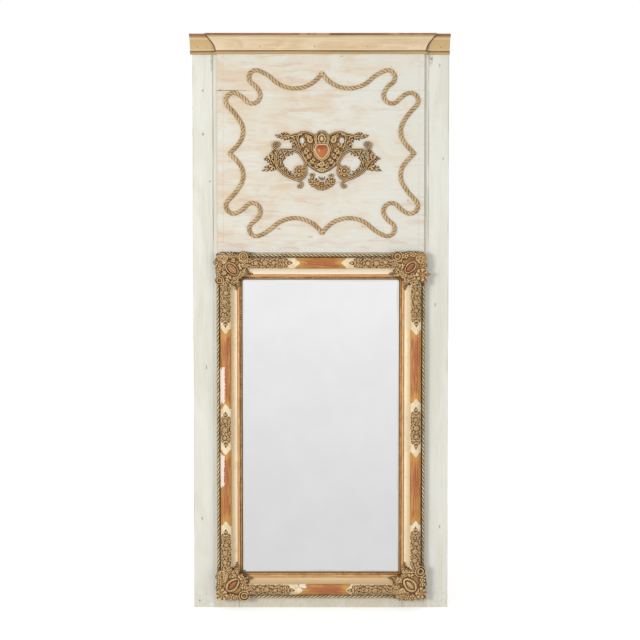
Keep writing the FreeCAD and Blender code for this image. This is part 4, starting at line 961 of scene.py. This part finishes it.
HANGERS = {"left": -338.5, "right": 333.0}
HANGER_Y, HANGER_Z = -16.15, 1420
STRAP_BACK = -18.75
WIRE_RADIUS = 2


def hanger_ring(side):
    """The D-shaped ring of round wire."""
    path = np.concatenate([bow((-14, 0), (-19, -5), 5, 6), bow((-19, -9), (19, -9), 19, 28),
                           bow((19, -5), (14, 0), 5, 6), np.linspace((13, 0), (-13, 0), 6)])
    ahead = np.roll(path, -1, axis=0) - np.roll(path, 1, axis=0)
    left = np.stack([-ahead[:, 1], ahead[:, 0]], axis=-1) / np.hypot(*ahead.T)[:, None]
    around = np.linspace(0, 2 * math.pi, 12, endpoint=False)[None, :]
    x = path[:, :1] + left[:, :1] * WIRE_RADIUS * np.cos(around)
    z = path[:, 1:] + left[:, 1:] * WIRE_RADIUS * np.cos(around)
    y = WIRE_RADIUS * np.sin(around) + 0 * x
    points = np.stack([(HANGERS[side] + x) * MM, (HANGER_Y + y) * MM, (HANGER_Z + z) * MM], axis=-1)
    rows, columns = x.shape
    faces = net(rows, columns, closed=True).tolist()
    faces += [((rows - 1) * columns + a, (rows - 1) * columns + (a + 1) % columns, (a + 1) % columns, a)
              for a in range(columns)]
    make_piece("hanger_wire_" + side, points, faces, finishes["hanger_steel"], body="ring_" + side, outward=True,
               replaced=["hanger_ring_" + side])


OPENING_SIDE, OPENING_BOTTOM, OPENING_TOP = 225, 106.5, 952.5
PLATE_FRONT, PLATE_SEAT = -52.6, -50.2


def plate_corners():
    """The plate's corners are hidden by small quadrants behind the sight edge, which round the opening."""
    turns = np.linspace(math.pi, 1.5 * math.pi, 9)[1:-1]
    outline = [(-0.6, 8), *((8 + 8 * math.cos(turn), 8 + 8 * math.sin(turn)) for turn in turns), (8, -0.6),
               (-0.6, -0.6)]
    count = len(outline)
    faces = [tuple(range(count)), tuple(range(2 * count - 1, count - 1, -1))]
    faces += [(order, (order + 1) % count, count + (order + 1) % count, count + order) for order in range(count)]
    for name, hand_x, hand_z in (("bottom_left", 1, 1), ("bottom_right", -1, 1), ("top_left", 1, -1),
                                 ("top_right", -1, -1)):
        x, z = -OPENING_SIDE * hand_x, OPENING_BOTTOM if hand_z == 1 else OPENING_TOP
        points = [((x + hand_x * a) * MM, y * MM, (z + hand_z * b) * MM) for y in (PLATE_FRONT, PLATE_SEAT)
                  for a, b in outline]
        make_piece("sight_corner_" + name, points, faces, finishes["sight_gilding"], smooth=False, outward=True,
                   groove=[0.6] * len(points))


# ---- Finishes -------------------------------------------------------------------------------------------------
def spots(finish, places):
    """Marks on the front at places in millimetres: x, z, half width, half height."""
    marks = None
    x, z = finish.axis("X"), finish.axis("Z")
    for x0, z0, wide, high in places:
        away = (((x - x0 * MM) / (wide * MM)) ** 2 + ((z - z0 * MM) / (high * MM)) ** 2).step(1.3, 0.5)
        marks = away if marks is None else marks.at_least(away)
    return marks


def bare_back(finish, tint, rough, inside=0.0):
    """Bare pine on the faces that look to the wall, and on those inside the carcass; the paint elsewhere."""
    facing = finish.add("ShaderNodeSeparateXYZ", {}, [finish.add("ShaderNodeTexCoord", {}, {}).also("Normal")])
    rings = finish.noise((0.012, 0.012, 0.45), detail=5, warp=1.2)
    pine = finish.mix(rings.step(0.38, 0.66), "#b48b5c", "#8f6a42")
    pine = pine.coat(finish.noise((0.12, 0.12, 0.3)).step(0.5, 0.8) * 0.5, "#6f5236")
    mask = facing.also("Y").step(0.4, 0.6)
    if inside:
        behind = finish.axis("Y").step(CARCASS_FRONT * MM + 0.0005, CARCASS_FRONT * MM + 0.0015)
        mask = mask.at_least(abs(finish.axis("X")).step(inside, inside - 0.001) * behind)
    return finish.mix(mask, tint, pine), rough + (0.8 - rough) * mask


BOARD_EDGE, RAIL_END = 0.3092, 0.2365


def carcass_paint():
    """Off-white paint on upright boards: brushed along the grain, rubbed, knotted and soiled."""
    finish = Finish("carcass_paint")
    grain = finish.noise((0.0035, 0.0035, 0.16), detail=6, rough=0.6, warp=0.4)
    brush = finish.noise((0.0016, 0.0016, 0.05), detail=3)
    cloud = finish.noise((0.05, 0.05, 0.22), detail=3, warp=0.8)
    specks = finish.noise((0.007, 0.007, 0.012), detail=4, rough=0.7)
    tint = finish.mix(cloud.step(0.35, 0.68), "#e9e8dd", "#e0decf")
    tint = tint.coat(grain.step(0.52, 0.72) * 0.5, "#d3d0bf")
    tint = tint.coat(grain.step(0.44, 0.28) * 0.5, "#f0efe7")
    tint = tint.coat(specks.step(0.66, 0.76) * 0.5, "#b9b19a")
    tint = tint.coat((cloud * grain).step(0.36, 0.47) * 0.4, "#cbc6b2")
    low = finish.axis("Z").step(0.10, 0.0) * specks.step(0.4, 0.7)
    tint = tint.coat(low * 0.4, "#b7ad95")
    knots = spots(finish, ((-338, 1494, 2.2, 3.4), (-352, 20, 3, 3), (-338, 1370, 3.2, 4.5),
                           (-318, 1235, 2, 3), (318, 1585, 3, 3), (341, 1566, 1.6, 6), (352, 1300, 1.6, 4),
                           (-330, 700, 1.6, 7), (330, 880, 1.6, 6), (345, 236, 1.8, 5), (-344, 260, 1.6, 6)))
    tint = tint.coat(knots * (0.2 + specks * 0.9), "#8b7c60")
    green = spots(finish, ((313, 1640, 12, 16), (315, 1600, 7, 40), (-314, 1600, 3, 60)))
    tint = tint.coat(green * specks.step(0.35, 0.6) * 0.55, "#8c8a66")
    x = finish.axis("X")
    z = finish.axis("Z")
    # Open seams beside the panel, and under the frame where the bottom rail meets the stiles.
    seam = (abs(abs(x) - BOARD_EDGE).step(0.0022, 0.0004) * grain.step(0.36, 0.56) * z.step(1.0, 1.1)).at_least(
        abs(abs(x) - RAIL_END).step(0.0016, 0.0005) * z.step(0.034, 0.03))
    tint = tint.coat(seam * 0.6, "#8a795a")
    foot = z.step(0.034, 0.026) * abs(x).step(BOARD_EDGE, BOARD_EDGE - 0.0012)
    tint = tint.coat(foot * 0.4, "#c9b78f")
    edge = abs(x).step(0.3640, 0.3672) * cloud.step(0.42, 0.6)
    tint = tint.coat(edge * 0.55, "#c2b191")
    rough = 0.5 + 0.2 * cloud
    tint, rough = bare_back(finish, tint, rough, 0.3065)
    relief = grain * 0.7 + brush * 0.3 - specks.step(0.68, 0.8) * 0.8 - knots - seam
    return finish.surface(Base_Color=tint, Roughness=rough, Normal=finish.bump(relief, 0.0011, 0.7))


def panel_paint():
    """Chalky white over peach on the upper panel: rubbed through in soft patches, with a few sideways strokes."""
    finish = Finish("panel_paint")
    patch = finish.noise((0.11, 0.11, 0.055), detail=5, rough=0.6, warp=1.0)
    broad = finish.noise((0.30, 0.30, 0.20), detail=2, warp=0.4)
    stroke = finish.noise((0.10, 0.10, 0.011), detail=5, rough=0.6, warp=0.8)
    brush = finish.noise((0.05, 0.05, 0.0018), detail=3)
    fine = finish.noise((0.006, 0.006, 0.004), detail=4, rough=0.7)
    x, z = finish.axis("X"), finish.axis("Z")
    centre = (abs(x) + abs(z - 1.32)).step(0.34, 0.12) * 0.05
    warm = x.step(0.02, -0.30) * 0.06 + z.step(1.38, 1.52) * 0.04 - x.step(0.12, 0.28) * 0.05 + centre
    peach = (patch * 0.6 + broad * 0.4 + warm).step(0.44, 0.66)
    tint = finish.mix(peach * 0.7, "#e4e2d6", "#e0d0b6")
    tint = tint.coat((patch * 0.5 + stroke * 0.5 + warm).step(0.55, 0.68) * 0.5, "#dfc4a4")
    pink = (broad * 0.3 + stroke * 0.7 + z.step(1.20, 1.06) * 0.06).step(0.55, 0.66)
    tint = tint.coat(pink * 0.4, "#d2bba6")
    tint = tint.coat(stroke.step(0.42, 0.30) * 0.5, "#eeece4")
    tint = tint.coat((fine * 0.5 + stroke * 0.5).step(0.56, 0.66) * 0.5, "#cdbfa8")
    joint = abs(z - 1.49275).step(0.0022, 0.0007) * (0.10 + x.step(-0.21, -0.26) * 0.6)
    tint = tint.coat(joint, "#8c7c62")
    strip = abs(x + 0.2795).step(0.0018, 0.0006) * 0.35 + abs(x - 0.281).step(0.0018, 0.0006) * 0.35
    tint = tint.coat(strip * fine.step(0.35, 0.6), "#b7a78c")
    tint = tint.coat(abs(x).step(0.2955, 0.2972) * 0.6, "#b3a68c")
    # A painted highlight along the panel's lower edge, where its rounded arris would catch the light above the frame.
    rim = z.step(1.0345, 1.0325)
    tint = tint.coat(rim * 0.8, "#efebe0")
    marks = spots(finish, ((-225, 1470, 2, 3), (120, 1105, 3, 2), (-120, 1098, 7, 2), (201, 1560, 2, 2),
                           (60, 1590, 5, 1.5), (250, 1180, 2, 4), (-262, 1290, 1.5, 4), (-30, 1075, 9, 1.8)))
    tint = tint.coat(marks * 0.6, "#a18a6c")
    rough = 0.5 + 0.25 * patch
    tint, rough = bare_back(finish, tint, rough)
    relief = stroke * 0.6 + brush * 0.35 + fine * 0.4
    return finish.surface(Base_Color=tint, Roughness=rough, Normal=finish.bump(relief, 0.0009, 0.6))


# The cornice's cove in metres: its foot, its height, half the length of its middle, and how far it comes forward.
COVE_FOOT, COVE_HEIGHT, COVE_END, COVE_REACH = 1.606, 0.038, 0.3015, 0.024


def cornice_paint():
    """Peach cream on the cornice, gold-brown on its bead, with a painted shadow line along the step where the middle
    returns.
    """
    finish = Finish("cornice_paint")
    streak = finish.noise((0.20, 0.20, 0.006), detail=5, warp=0.5)
    patch = finish.noise((0.09, 0.09, 0.03), detail=4, warp=0.7)
    chips = finish.noise((0.012, 0.012, 0.008), detail=4, rough=0.7)
    z, x = finish.axis("Z"), finish.axis("X")
    tint = finish.mix(patch.step(0.36, 0.66), "#ead4b2", "#dac096")
    # The upper cove is painted lighter: painted light that makes up for the shade under the cap.
    tint = tint.coat(z.step(1.618, 1.642) * 0.45, "#ecd3a8")
    tint = tint.coat(streak.step(0.55, 0.75) * 0.5, "#cdac7e")
    tint = tint.coat(streak.step(0.44, 0.30) * 0.5, "#f4e6cc")
    rise = ((z - COVE_FOOT) / COVE_HEIGHT).clamped()
    profile = COVE_END + COVE_REACH * rise * rise * (1.35 - 0.35 * rise)
    ends = (abs(x) - profile).step(0.0, 0.001)
    tint = tint.coat(ends * 0.75, "#c9a668")
    # A painted shadow line along the step where the middle breaks forward past the ends and returns.
    joint = abs(abs(x) - profile).step(0.0026, 0.0009) * z.step(1.5995, 1.602)
    bead = z.step(1.6070, 1.6058)
    brown = finish.mix(streak.step(0.4, 0.6), "#a5824c", "#8b6a38")
    brown = brown.coat(chips.step(0.60, 0.70) * 0.6, "#c9a876")
    brown = brown.coat(z.step(1.6012, 1.5985) * 0.8, "#c8ae84")
    tint = tint.coat(bead * 0.92, brown)
    # A painted highlight on the fascia's lower edge, then a painted shadow line in the quirk above the bead.
    tint = tint.coat(abs(z - 1.6085).step(0.0018, 0.0006) * 0.6, "#f3e2c4")
    tint = tint.coat(abs(z - 1.6062).step(0.0012, 0.0005) * 0.7, "#75552c")
    edge = z.step(1.6400, 1.6435)
    tint = tint.coat(edge * (0.35 + ends * 0.35), "#a97a48")
    # A painted highlight along the cove's top, under the cap.
    tint = tint.coat(abs(z - 1.6375).step(0.0022, 0.0008) * 0.5, "#f4e5c8")
    # The painted shadow line along the middle's returns.
    tint = tint.coat(joint * 0.9, "#5f4320")
    tint = tint.coat(chips.step(0.68, 0.76) * 0.5, "#8f6c43")
    rough = 0.5 + 0.2 * patch
    tint, rough = bare_back(finish, tint, rough)
    return finish.surface(Base_Color=tint, Roughness=rough,
                          Normal=finish.bump(streak * 0.6 - chips.step(0.64, 0.76) - joint * 2, 0.0009, 0.7))


def worn_cap():
    """The thin top board: paint worn to the brown wood at its edge."""
    finish = Finish("worn_cap")
    grain = finish.noise((0.18, 0.008, 0.008), detail=5, warp=0.6)
    patch = finish.noise(0.06, detail=4)
    tint = finish.mix(grain.step(0.36, 0.68), "#a97b4e", "#7b5530")
    tint = tint.coat(patch.step(0.54, 0.66) * 0.7, "#c9a87c")
    return finish.surface(Base_Color=tint, Roughness=0.65 + 0.15 * grain, Normal=finish.bump(grain, 0.001, 0.8))


def bare_wood():
    """Old pine with its rings along the length, browned by age."""
    finish = Finish("bare_wood")
    across = finish.noise((0.5, 0.014, 0.014), detail=6, warp=1.4)
    rings = ((finish.axis("Z") + finish.noise((0.7, 0.1, 0.1), detail=2) * 0.05) * 190
             + across * 7).maths("SINE")
    age = finish.noise(0.15, detail=4)
    tint = finish.mix((rings * 0.5 + 0.5) * across.step(0.25, 0.75), "#c09a68", "#94703f")
    tint = tint.coat(age.step(0.45, 0.75) * 0.6, "#745636")
    return finish.surface(Base_Color=tint, Roughness=0.75 + 0.1 * age,
                          Normal=finish.bump(across + rings * 0.15, 0.0009, 0.8))


def frame_gilding():
    """The moulding: a ledge darkened as painted shade in the quirk beside the rope, cream band with panels of ochre
    and red bole, cream hollow, red and gold bead.
    """
    finish = Finish("frame_gilding")
    # Across: the ledge to 10.5 mm, the band to 42.5, the hollow to 59, the bead to 66 and the sight edge to 74.
    across, along = finish.attribute("across"), finish.attribute("along")
    bole, gesso, shade = finish.attribute("bole"), finish.attribute("gesso"), finish.attribute("shade")
    fine = finish.noise(0.004, detail=5, rough=0.65)
    mid = finish.noise(0.018, detail=4, warp=0.8)
    wide = finish.noise(0.07, detail=3)
    lined = finish.add("ShaderNodeCombineXYZ", {}, {"X": along * 0.018, "Y": across * 0.45})
    lined = finish.noise(lined, detail=4, rough=0.6, warp=0.3)
    cream = finish.mix(mid.step(0.36, 0.66), "#f4e3c2", "#e6cb9c")
    cream = cream.coat((fine * wide).step(0.28, 0.40) * 0.55, "#cfa66c")
    hollow = finish.mix(across.step(44, 56), "#e6cda0", "#f3e4c6")
    hollow = hollow.coat((abs(across - 50.5).step(5.5, 1.5)) * 0.35, "#e2cf9f")
    hollow = hollow.coat((mid * 0.5 + lined * 0.5).step(0.5, 0.66) * 0.4, "#d6b481")
    hollow = hollow.coat((fine * 0.5 + wide * 0.5).step(0.58, 0.68) * 0.5, "#c99a62")
    z = finish.axis("Z")
    # The hollow is painted paler on the top rail and darker on the bottom rail: painted light and shade for how the
    # light falls on each.
    hollow = hollow.coat(z.step(0.955, 0.975) * 0.6, "#fff1d6")
    hollow = hollow.coat(z.step(0.102, 0.092) * 0.7, "#c6a878")
    depth = bole.step(2, 30)
    red = (wide * 0.35 + lined * 0.45 + depth * 0.16 - abs(across - 28) * 0.008).step(0.38, 0.58)
    ochre = finish.mix(lined.step(0.36, 0.64), "#cd9a4d", "#bb8440")
    ochre = ochre.coat(red * 0.9, "#ad5e33")
    ochre = ochre.coat((red * lined.step(0.45, 0.62)) * 0.6, "#96482a")
    ochre = ochre.coat(fine.step(0.62, 0.74) * 0.4, "#7f4a26")
    ochre = ochre.coat(fine.step(0.38, 0.28) * 0.5, "#dcb26a")
    panel = (bole + (mid - 0.5) * 6 + (fine - 0.5) * 2).step(-0.6, 0.6)
    band = finish.mix(panel, cream, ochre)
    band = band.coat((abs(bole + (fine - 0.5) * 2).step(1.4, 0.4) * across.step(10.5, 12)) * 0.35, "#94683a")
    band = band.coat(abs(across - 42.4).step(0.9, 0.3) * 0.45, "#a5783f")
    # A dark line at the band's foot: painted shade in the quirk between the rope and the band.
    band = band.coat(abs(across - 11.2).step(1.6, 0.4) * 0.75, "#6f4f26")
    worn = (gesso + (mid - 0.5) * 1.5 + (fine - 0.5) * 0.8).step(0.66, 0.72)
    band = band.coat(worn, "#f6e3d2")
    band = band.coat(abs(gesso + (mid - 0.5) * 1.5 + (fine - 0.5) * 0.8 - 0.64).step(0.07, 0.02) * 0.5, "#8a4a2c")
    bead = finish.mix((lined * 0.5 + mid * 0.5).step(0.40, 0.60), "#dfb277", "#cd9858")
    bead = bead.coat((fine * 0.5 + mid * 0.5).step(0.52, 0.62) * 0.5, "#ebc994")
    line = (abs(across - 60.2).step(1.5, 0.7) * lined.step(0.30, 0.46)).at_least(
        abs(across - 65.0).step(0.8, 0.3) * lined.step(0.45, 0.55) * 0.8)
    bead = bead.coat(line * 0.85, "#a4562c")
    sight = finish.mix(mid.step(0.4, 0.65), "#cf9d5e", "#b5803f")
    sight = sight.coat(shade, "#4f3a1f")
    tint = finish.mix(across.step(42.4, 42.9), band, hollow)
    tint = tint.coat(across.step(58.4, 58.9), bead)
    tint = tint.coat(across.step(65.8, 66.2), sight)
    # The ledge under the rope is painted dark: painted shade in the quirk.
    tint = tint.coat(across.step(10.7, 10.3), "#5f4526")
    metal = (panel * (1 - red) + across.step(58.6, 59.1)).clamped() * 0.2 * (1 - worn)
    rough = 0.42 + 0.25 * mid + 0.2 * worn
    relief = fine * 0.5 + mid * 0.5 - worn * 0.6
    return finish.surface(Base_Color=tint, Roughness=rough, Metallic=metal,
                          Normal=finish.bump(relief, 0.0008, 0.8))


def twisted_paint(name, crest, pale, deep, share):
    """Paint worn off a twisted moulding: pale on the crests, and dark between the strands as painted shade."""
    finish = Finish(name)
    groove = finish.attribute("groove")
    wear = finish.noise(0.03, detail=4)
    fine = finish.noise(0.005, detail=4, rough=0.65)
    tint = finish.mix(wear.step(0.36, 0.66), crest, pale)
    # The groove values are painted shade: between the strands on the ropes, and at the feet of the pearls.
    tint = tint.coat((groove + (fine - 0.5) * 0.35 + (wear - 0.5) * 0.3).step(share, share + 0.32), deep)
    tint = tint.coat(fine.step(0.62, 0.74) * 0.5, "#8d6c40")
    return finish.surface(Base_Color=tint, Roughness=0.5 + 0.2 * wear, Metallic=0.12,
                          Normal=finish.bump(fine, 0.0006, 0.7))


def composition():
    """Antique gold on pressed composition: umber in the hollows, partly patina and partly painted shade, and pale
    gold on the high parts as a painted highlight.
    """
    finish = Finish("composition")
    cavity, broad, stone = finish.attribute("cavity"), finish.attribute("broad"), finish.attribute("stone")
    fine = finish.noise(0.0035, detail=5, rough=0.65)
    mid = finish.noise(0.022, detail=4, warp=0.6)
    depth = cavity * 0.75 + broad * 0.35 + (fine - 0.5) * 0.35
    tint = finish.mix(mid.step(0.36, 0.66), "#ad8650", "#98713f")
    # Painted highlight on the high parts, then umber in the hollows that is partly patina and partly painted shade.
    tint = tint.coat(depth.step(-0.10, -0.80) * 0.85, "#e0c292")
    tint = tint.coat(depth.step(0.02, 0.50) * 0.85, "#6f4a1e")
    tint = tint.coat(depth.step(0.45, 1.3) * 0.9, "#4e3212")
    tint = tint.coat(mid.step(0.58, 0.70) * 0.3, "#b98b62")
    ruby = finish.mix(mid.step(0.3, 0.7), "#a5573a", "#8a432c")
    # The red heart gets the same painted highlight and painted shade.
    ruby = ruby.coat(depth.step(-0.3, -1.2) * 0.5, "#c27a56")
    ruby = ruby.coat(depth.step(0.1, 0.6) * 0.6, "#5d2c1a")
    tint = tint.coat(stone.step(0.0, 1.0) * 0.9, ruby)
    return finish.surface(Base_Color=tint, Roughness=0.46 + 0.22 * fine, Metallic=0.22,
                          Normal=finish.bump(fine * 0.6 + mid * 0.4, 0.0006, 0.7))


def cabochon_glaze():
    """A glazed stone that runs from red at the top to orange."""
    finish = Finish("cabochon_glaze")
    cloud = finish.noise(0.012, detail=4, warp=1.2)
    z = finish.axis("Z")
    fine = finish.noise(0.004, detail=4, rough=0.7)
    red = (z * 30 - CARTOUCHE_PLACE[1] * MM * 30 - 0.85 + (cloud - 0.5) * 1.6).step(-0.3, 0.4)
    tint = finish.mix(red, "#bf6c28", "#9c3a20")
    tint = tint.coat(cloud.step(0.5, 0.7) * 0.5, "#d98c45")
    tint = tint.coat(fine.step(0.54, 0.68) * 0.6, "#8a3a1c")
    # Painted shade at the stone's edge and down its sides, from the cavity values.
    tint = tint.coat(finish.attribute("cavity").step(0.1, 0.7) * 0.6, "#6b3317")
    return finish.surface(Base_Color=tint, Roughness=0.42 + 0.15 * cloud, Coat_Weight=0.15,
                          Normal=finish.bump(cloud, 0.0006, 0.5))


def mirror_plate():
    """Silvered glass, a little clouded at its edges."""
    finish = Finish("mirror_plate")
    haze = finish.noise(0.12, detail=4)
    fine = finish.noise(0.01, detail=4)
    x, z = finish.axis("X"), finish.axis("Z")
    edge = ((OPENING_SIDE + 1) * MM - abs(x)).at_most(z - (OPENING_BOTTOM - 1) * MM).at_most(
        (OPENING_TOP + 1) * MM - z)
    worn = (edge + (haze - 0.5) * 0.02).step(0.008, 0.0) * 0.35
    tint = finish.mix(haze.step(0.3, 0.7), "#f7f7f7", "#f3f3f4")
    tint = tint.coat(worn, "#b9b4a8")
    return finish.surface(Base_Color=tint, Metallic=1.0, Roughness=0.03 + 0.05 * worn + 0.01 * fine)


def hanger_steel():
    """Zinc-plated steel with dull spots and a little rust."""
    finish = Finish("hanger_steel")
    spots = finish.noise(0.004, detail=4)
    tint = finish.mix(spots.step(0.35, 0.65), "#b9bab6", "#93948f")
    tint = tint.coat(spots.step(0.68, 0.78) * 0.7, "#7a5a3c")
    return finish.surface(Base_Color=tint, Metallic=0.9, Roughness=0.35 + 0.25 * spots,
                          Normal=finish.bump(spots, 0.0003, 0.6))


finishes = {
    "carcass_paint": carcass_paint(),
    "panel_paint": panel_paint(),
    "cornice_paint": cornice_paint(),
    "worn_cap": worn_cap(),
    "bare_wood": bare_wood(),
    "frame_gilding": frame_gilding(),
    "rope_paint": twisted_paint("rope_paint", "#e6d3ab", "#cdb17c", "#5e4820", 0.14),
    "panel_rope_paint": twisted_paint("panel_rope_paint", "#d5b98d", "#ba9869", "#7d5d31", 0.40),
    "sight_gilding": twisted_paint("sight_gilding", "#dbb073", "#c39459", "#553c1d", 0.50),
    "composition": composition(),
    "cabochon_glaze": cabochon_glaze(),
    "mirror_plate": mirror_plate(),
    "hanger_steel": hanger_steel(),
}
rng = random.Random(11)

NAILS, NAILS_UP = (-352, -327, -252, -173, -124, -77, -18, 133, 265, 343), 1616.5
COVE_FRONT, ENDS_FRONT = -58.6, -48.6

# ---- The pieces -----------------------------------------------------------------------------------------------
for name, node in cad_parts.items():
    for slot in node.material_slots:
        wanted = slot.material.name.split(".")[0]
        slot.material = finishes.get(wanted, finishes["bare_wood"])
    if name.startswith(("side_board", "batten", "mirror_backboard")) or "cap" in name:
        rounding = node.modifiers.new("worn_edges", "BEVEL")
        rounding.width = 0.0007
        rounding.segments = 2

for side in FRAME_SIDES:
    frame_rail(side)
    edging(side)
    pearls(side)
    frame_sprays(side)
for corner in CORNERS:
    corner_ornament(corner)
panel_rope()
joint_filling()
cartouche()
plate_corners()
for side in HANGERS:
    hanger_ring(side)
    for order, drop in enumerate((15, 37)):
        slotted_screw("strap_screw_%s_%d" % (side, order), on_front(HANGERS[side], HANGER_Z - drop, STRAP_BACK, 1),
                      finishes["hanger_steel"])
for order, x in enumerate(NAILS):
    front = ENDS_FRONT if abs(x) > COVE_END / MM else COVE_FRONT
    nail_head("cornice_nail_%02d" % order, on_front(x, NAILS_UP + order % 3, front), finishes["worn_cap"], 1.5)
nail_head("panel_nail", on_front(-287, 1494.8), finishes["worn_cap"], 1.9)

# ---- Camera, light and ground ---------------------------------------------------------------------------------
CAMERA_PLACE, CAMERA_TILT, LENS = (-0.0022, -3.5, 0.95385), 1.95, 67.46
camera = bpy.data.objects.new("camera", bpy.data.cameras.new("camera"))
bpy.context.collection.objects.link(camera)
camera.location = CAMERA_PLACE
camera.rotation_euler = (math.radians(90 - CAMERA_TILT), 0, 0)
camera.data.lens = LENS
camera.data.sensor_width = 36
bpy.context.scene.camera = camera


def lamp(name, place, target, size, watts):
    """A soft rectangular lamp that is aimed at a point."""
    light = bpy.data.lights.new(name, "AREA")
    light.shape = "RECTANGLE"
    light.size, light.size_y = size
    light.energy = watts
    thing = bpy.data.objects.new(name, light)
    bpy.context.collection.objects.link(thing)
    thing.location = place
    thing.rotation_euler = (Vector(target) - Vector(place)).to_track_quat("-Z", "Y").to_euler()


lamp("window", (-2.3, -3.4, 1.15), (0, 0, 0.8), (1.1, 1.1), 70)
lamp("fill", (2.2, -3.2, 0.8), (0, 0, 0.6), (2.4, 2.0), 28)


class Studio(Finish):
    """The nodes of the world round the object."""

    def __init__(self, tree):
        self.tree = tree
        self.tree.nodes.clear()
        self.place = self.add("ShaderNodeTexCoord", {}, {}).also("Generated")


world = bpy.data.worlds.new("studio")
bpy.context.scene.world = world
world.use_nodes = True
studio = Studio(world.node_tree)
paths = studio.add("ShaderNodeLightPath", {}, {})
up = studio.axis("Z")
mirrored = studio.mix(up.step(-0.27, 0.05), "#e0e0e0", "#f9f9f9")
seen = studio.mix(paths.also("Is Glossy Ray"), "#ffffff", mirrored)
plain = studio.add("ShaderNodeBackground", {}, {"Color": "#ffffff", "Strength": 0.54})
shown = studio.add("ShaderNodeBackground", {}, {"Color": seen, "Strength": 1.0})
direct = paths.also("Is Camera Ray").at_least(paths.also("Is Glossy Ray")).at_least(paths.also("Is Transmission Ray"))
sky = studio.add("ShaderNodeMixShader", {}, [direct, plain, shown])
studio.add("ShaderNodeOutputWorld", {}, {"Surface": sky})

ground = Finish("studio_floor")
seen_first = ground.add("ShaderNodeLightPath", {}, {})
away = (ground.axis("X") ** 2 + ground.axis("Y") ** 2) ** 0.5
glow = ground.mix(away.step(0.7, 2.6), "#c9c9c9", "#f4f4f4")
glow = ground.mix(seen_first, "#000000", glow)
tone = ground.mix(ground.noise(0.3), "#e4e4e4", "#e1e1e1")
ground.surface(Base_Color=tone, Roughness=0.9, Emission_Color=glow, Emission_Strength=1.0)
bpy.ops.mesh.primitive_grid_add(x_subdivisions=8, y_subdivisions=8, size=30, location=(0, 0, -0.0005))
floor = bpy.context.object
floor.name = "studio_floor"
floor.data.materials.append(ground.material)
floor.visible_glossy = False
floor.visible_diffuse = False

bpy.context.scene.view_settings.view_transform = "Standard"
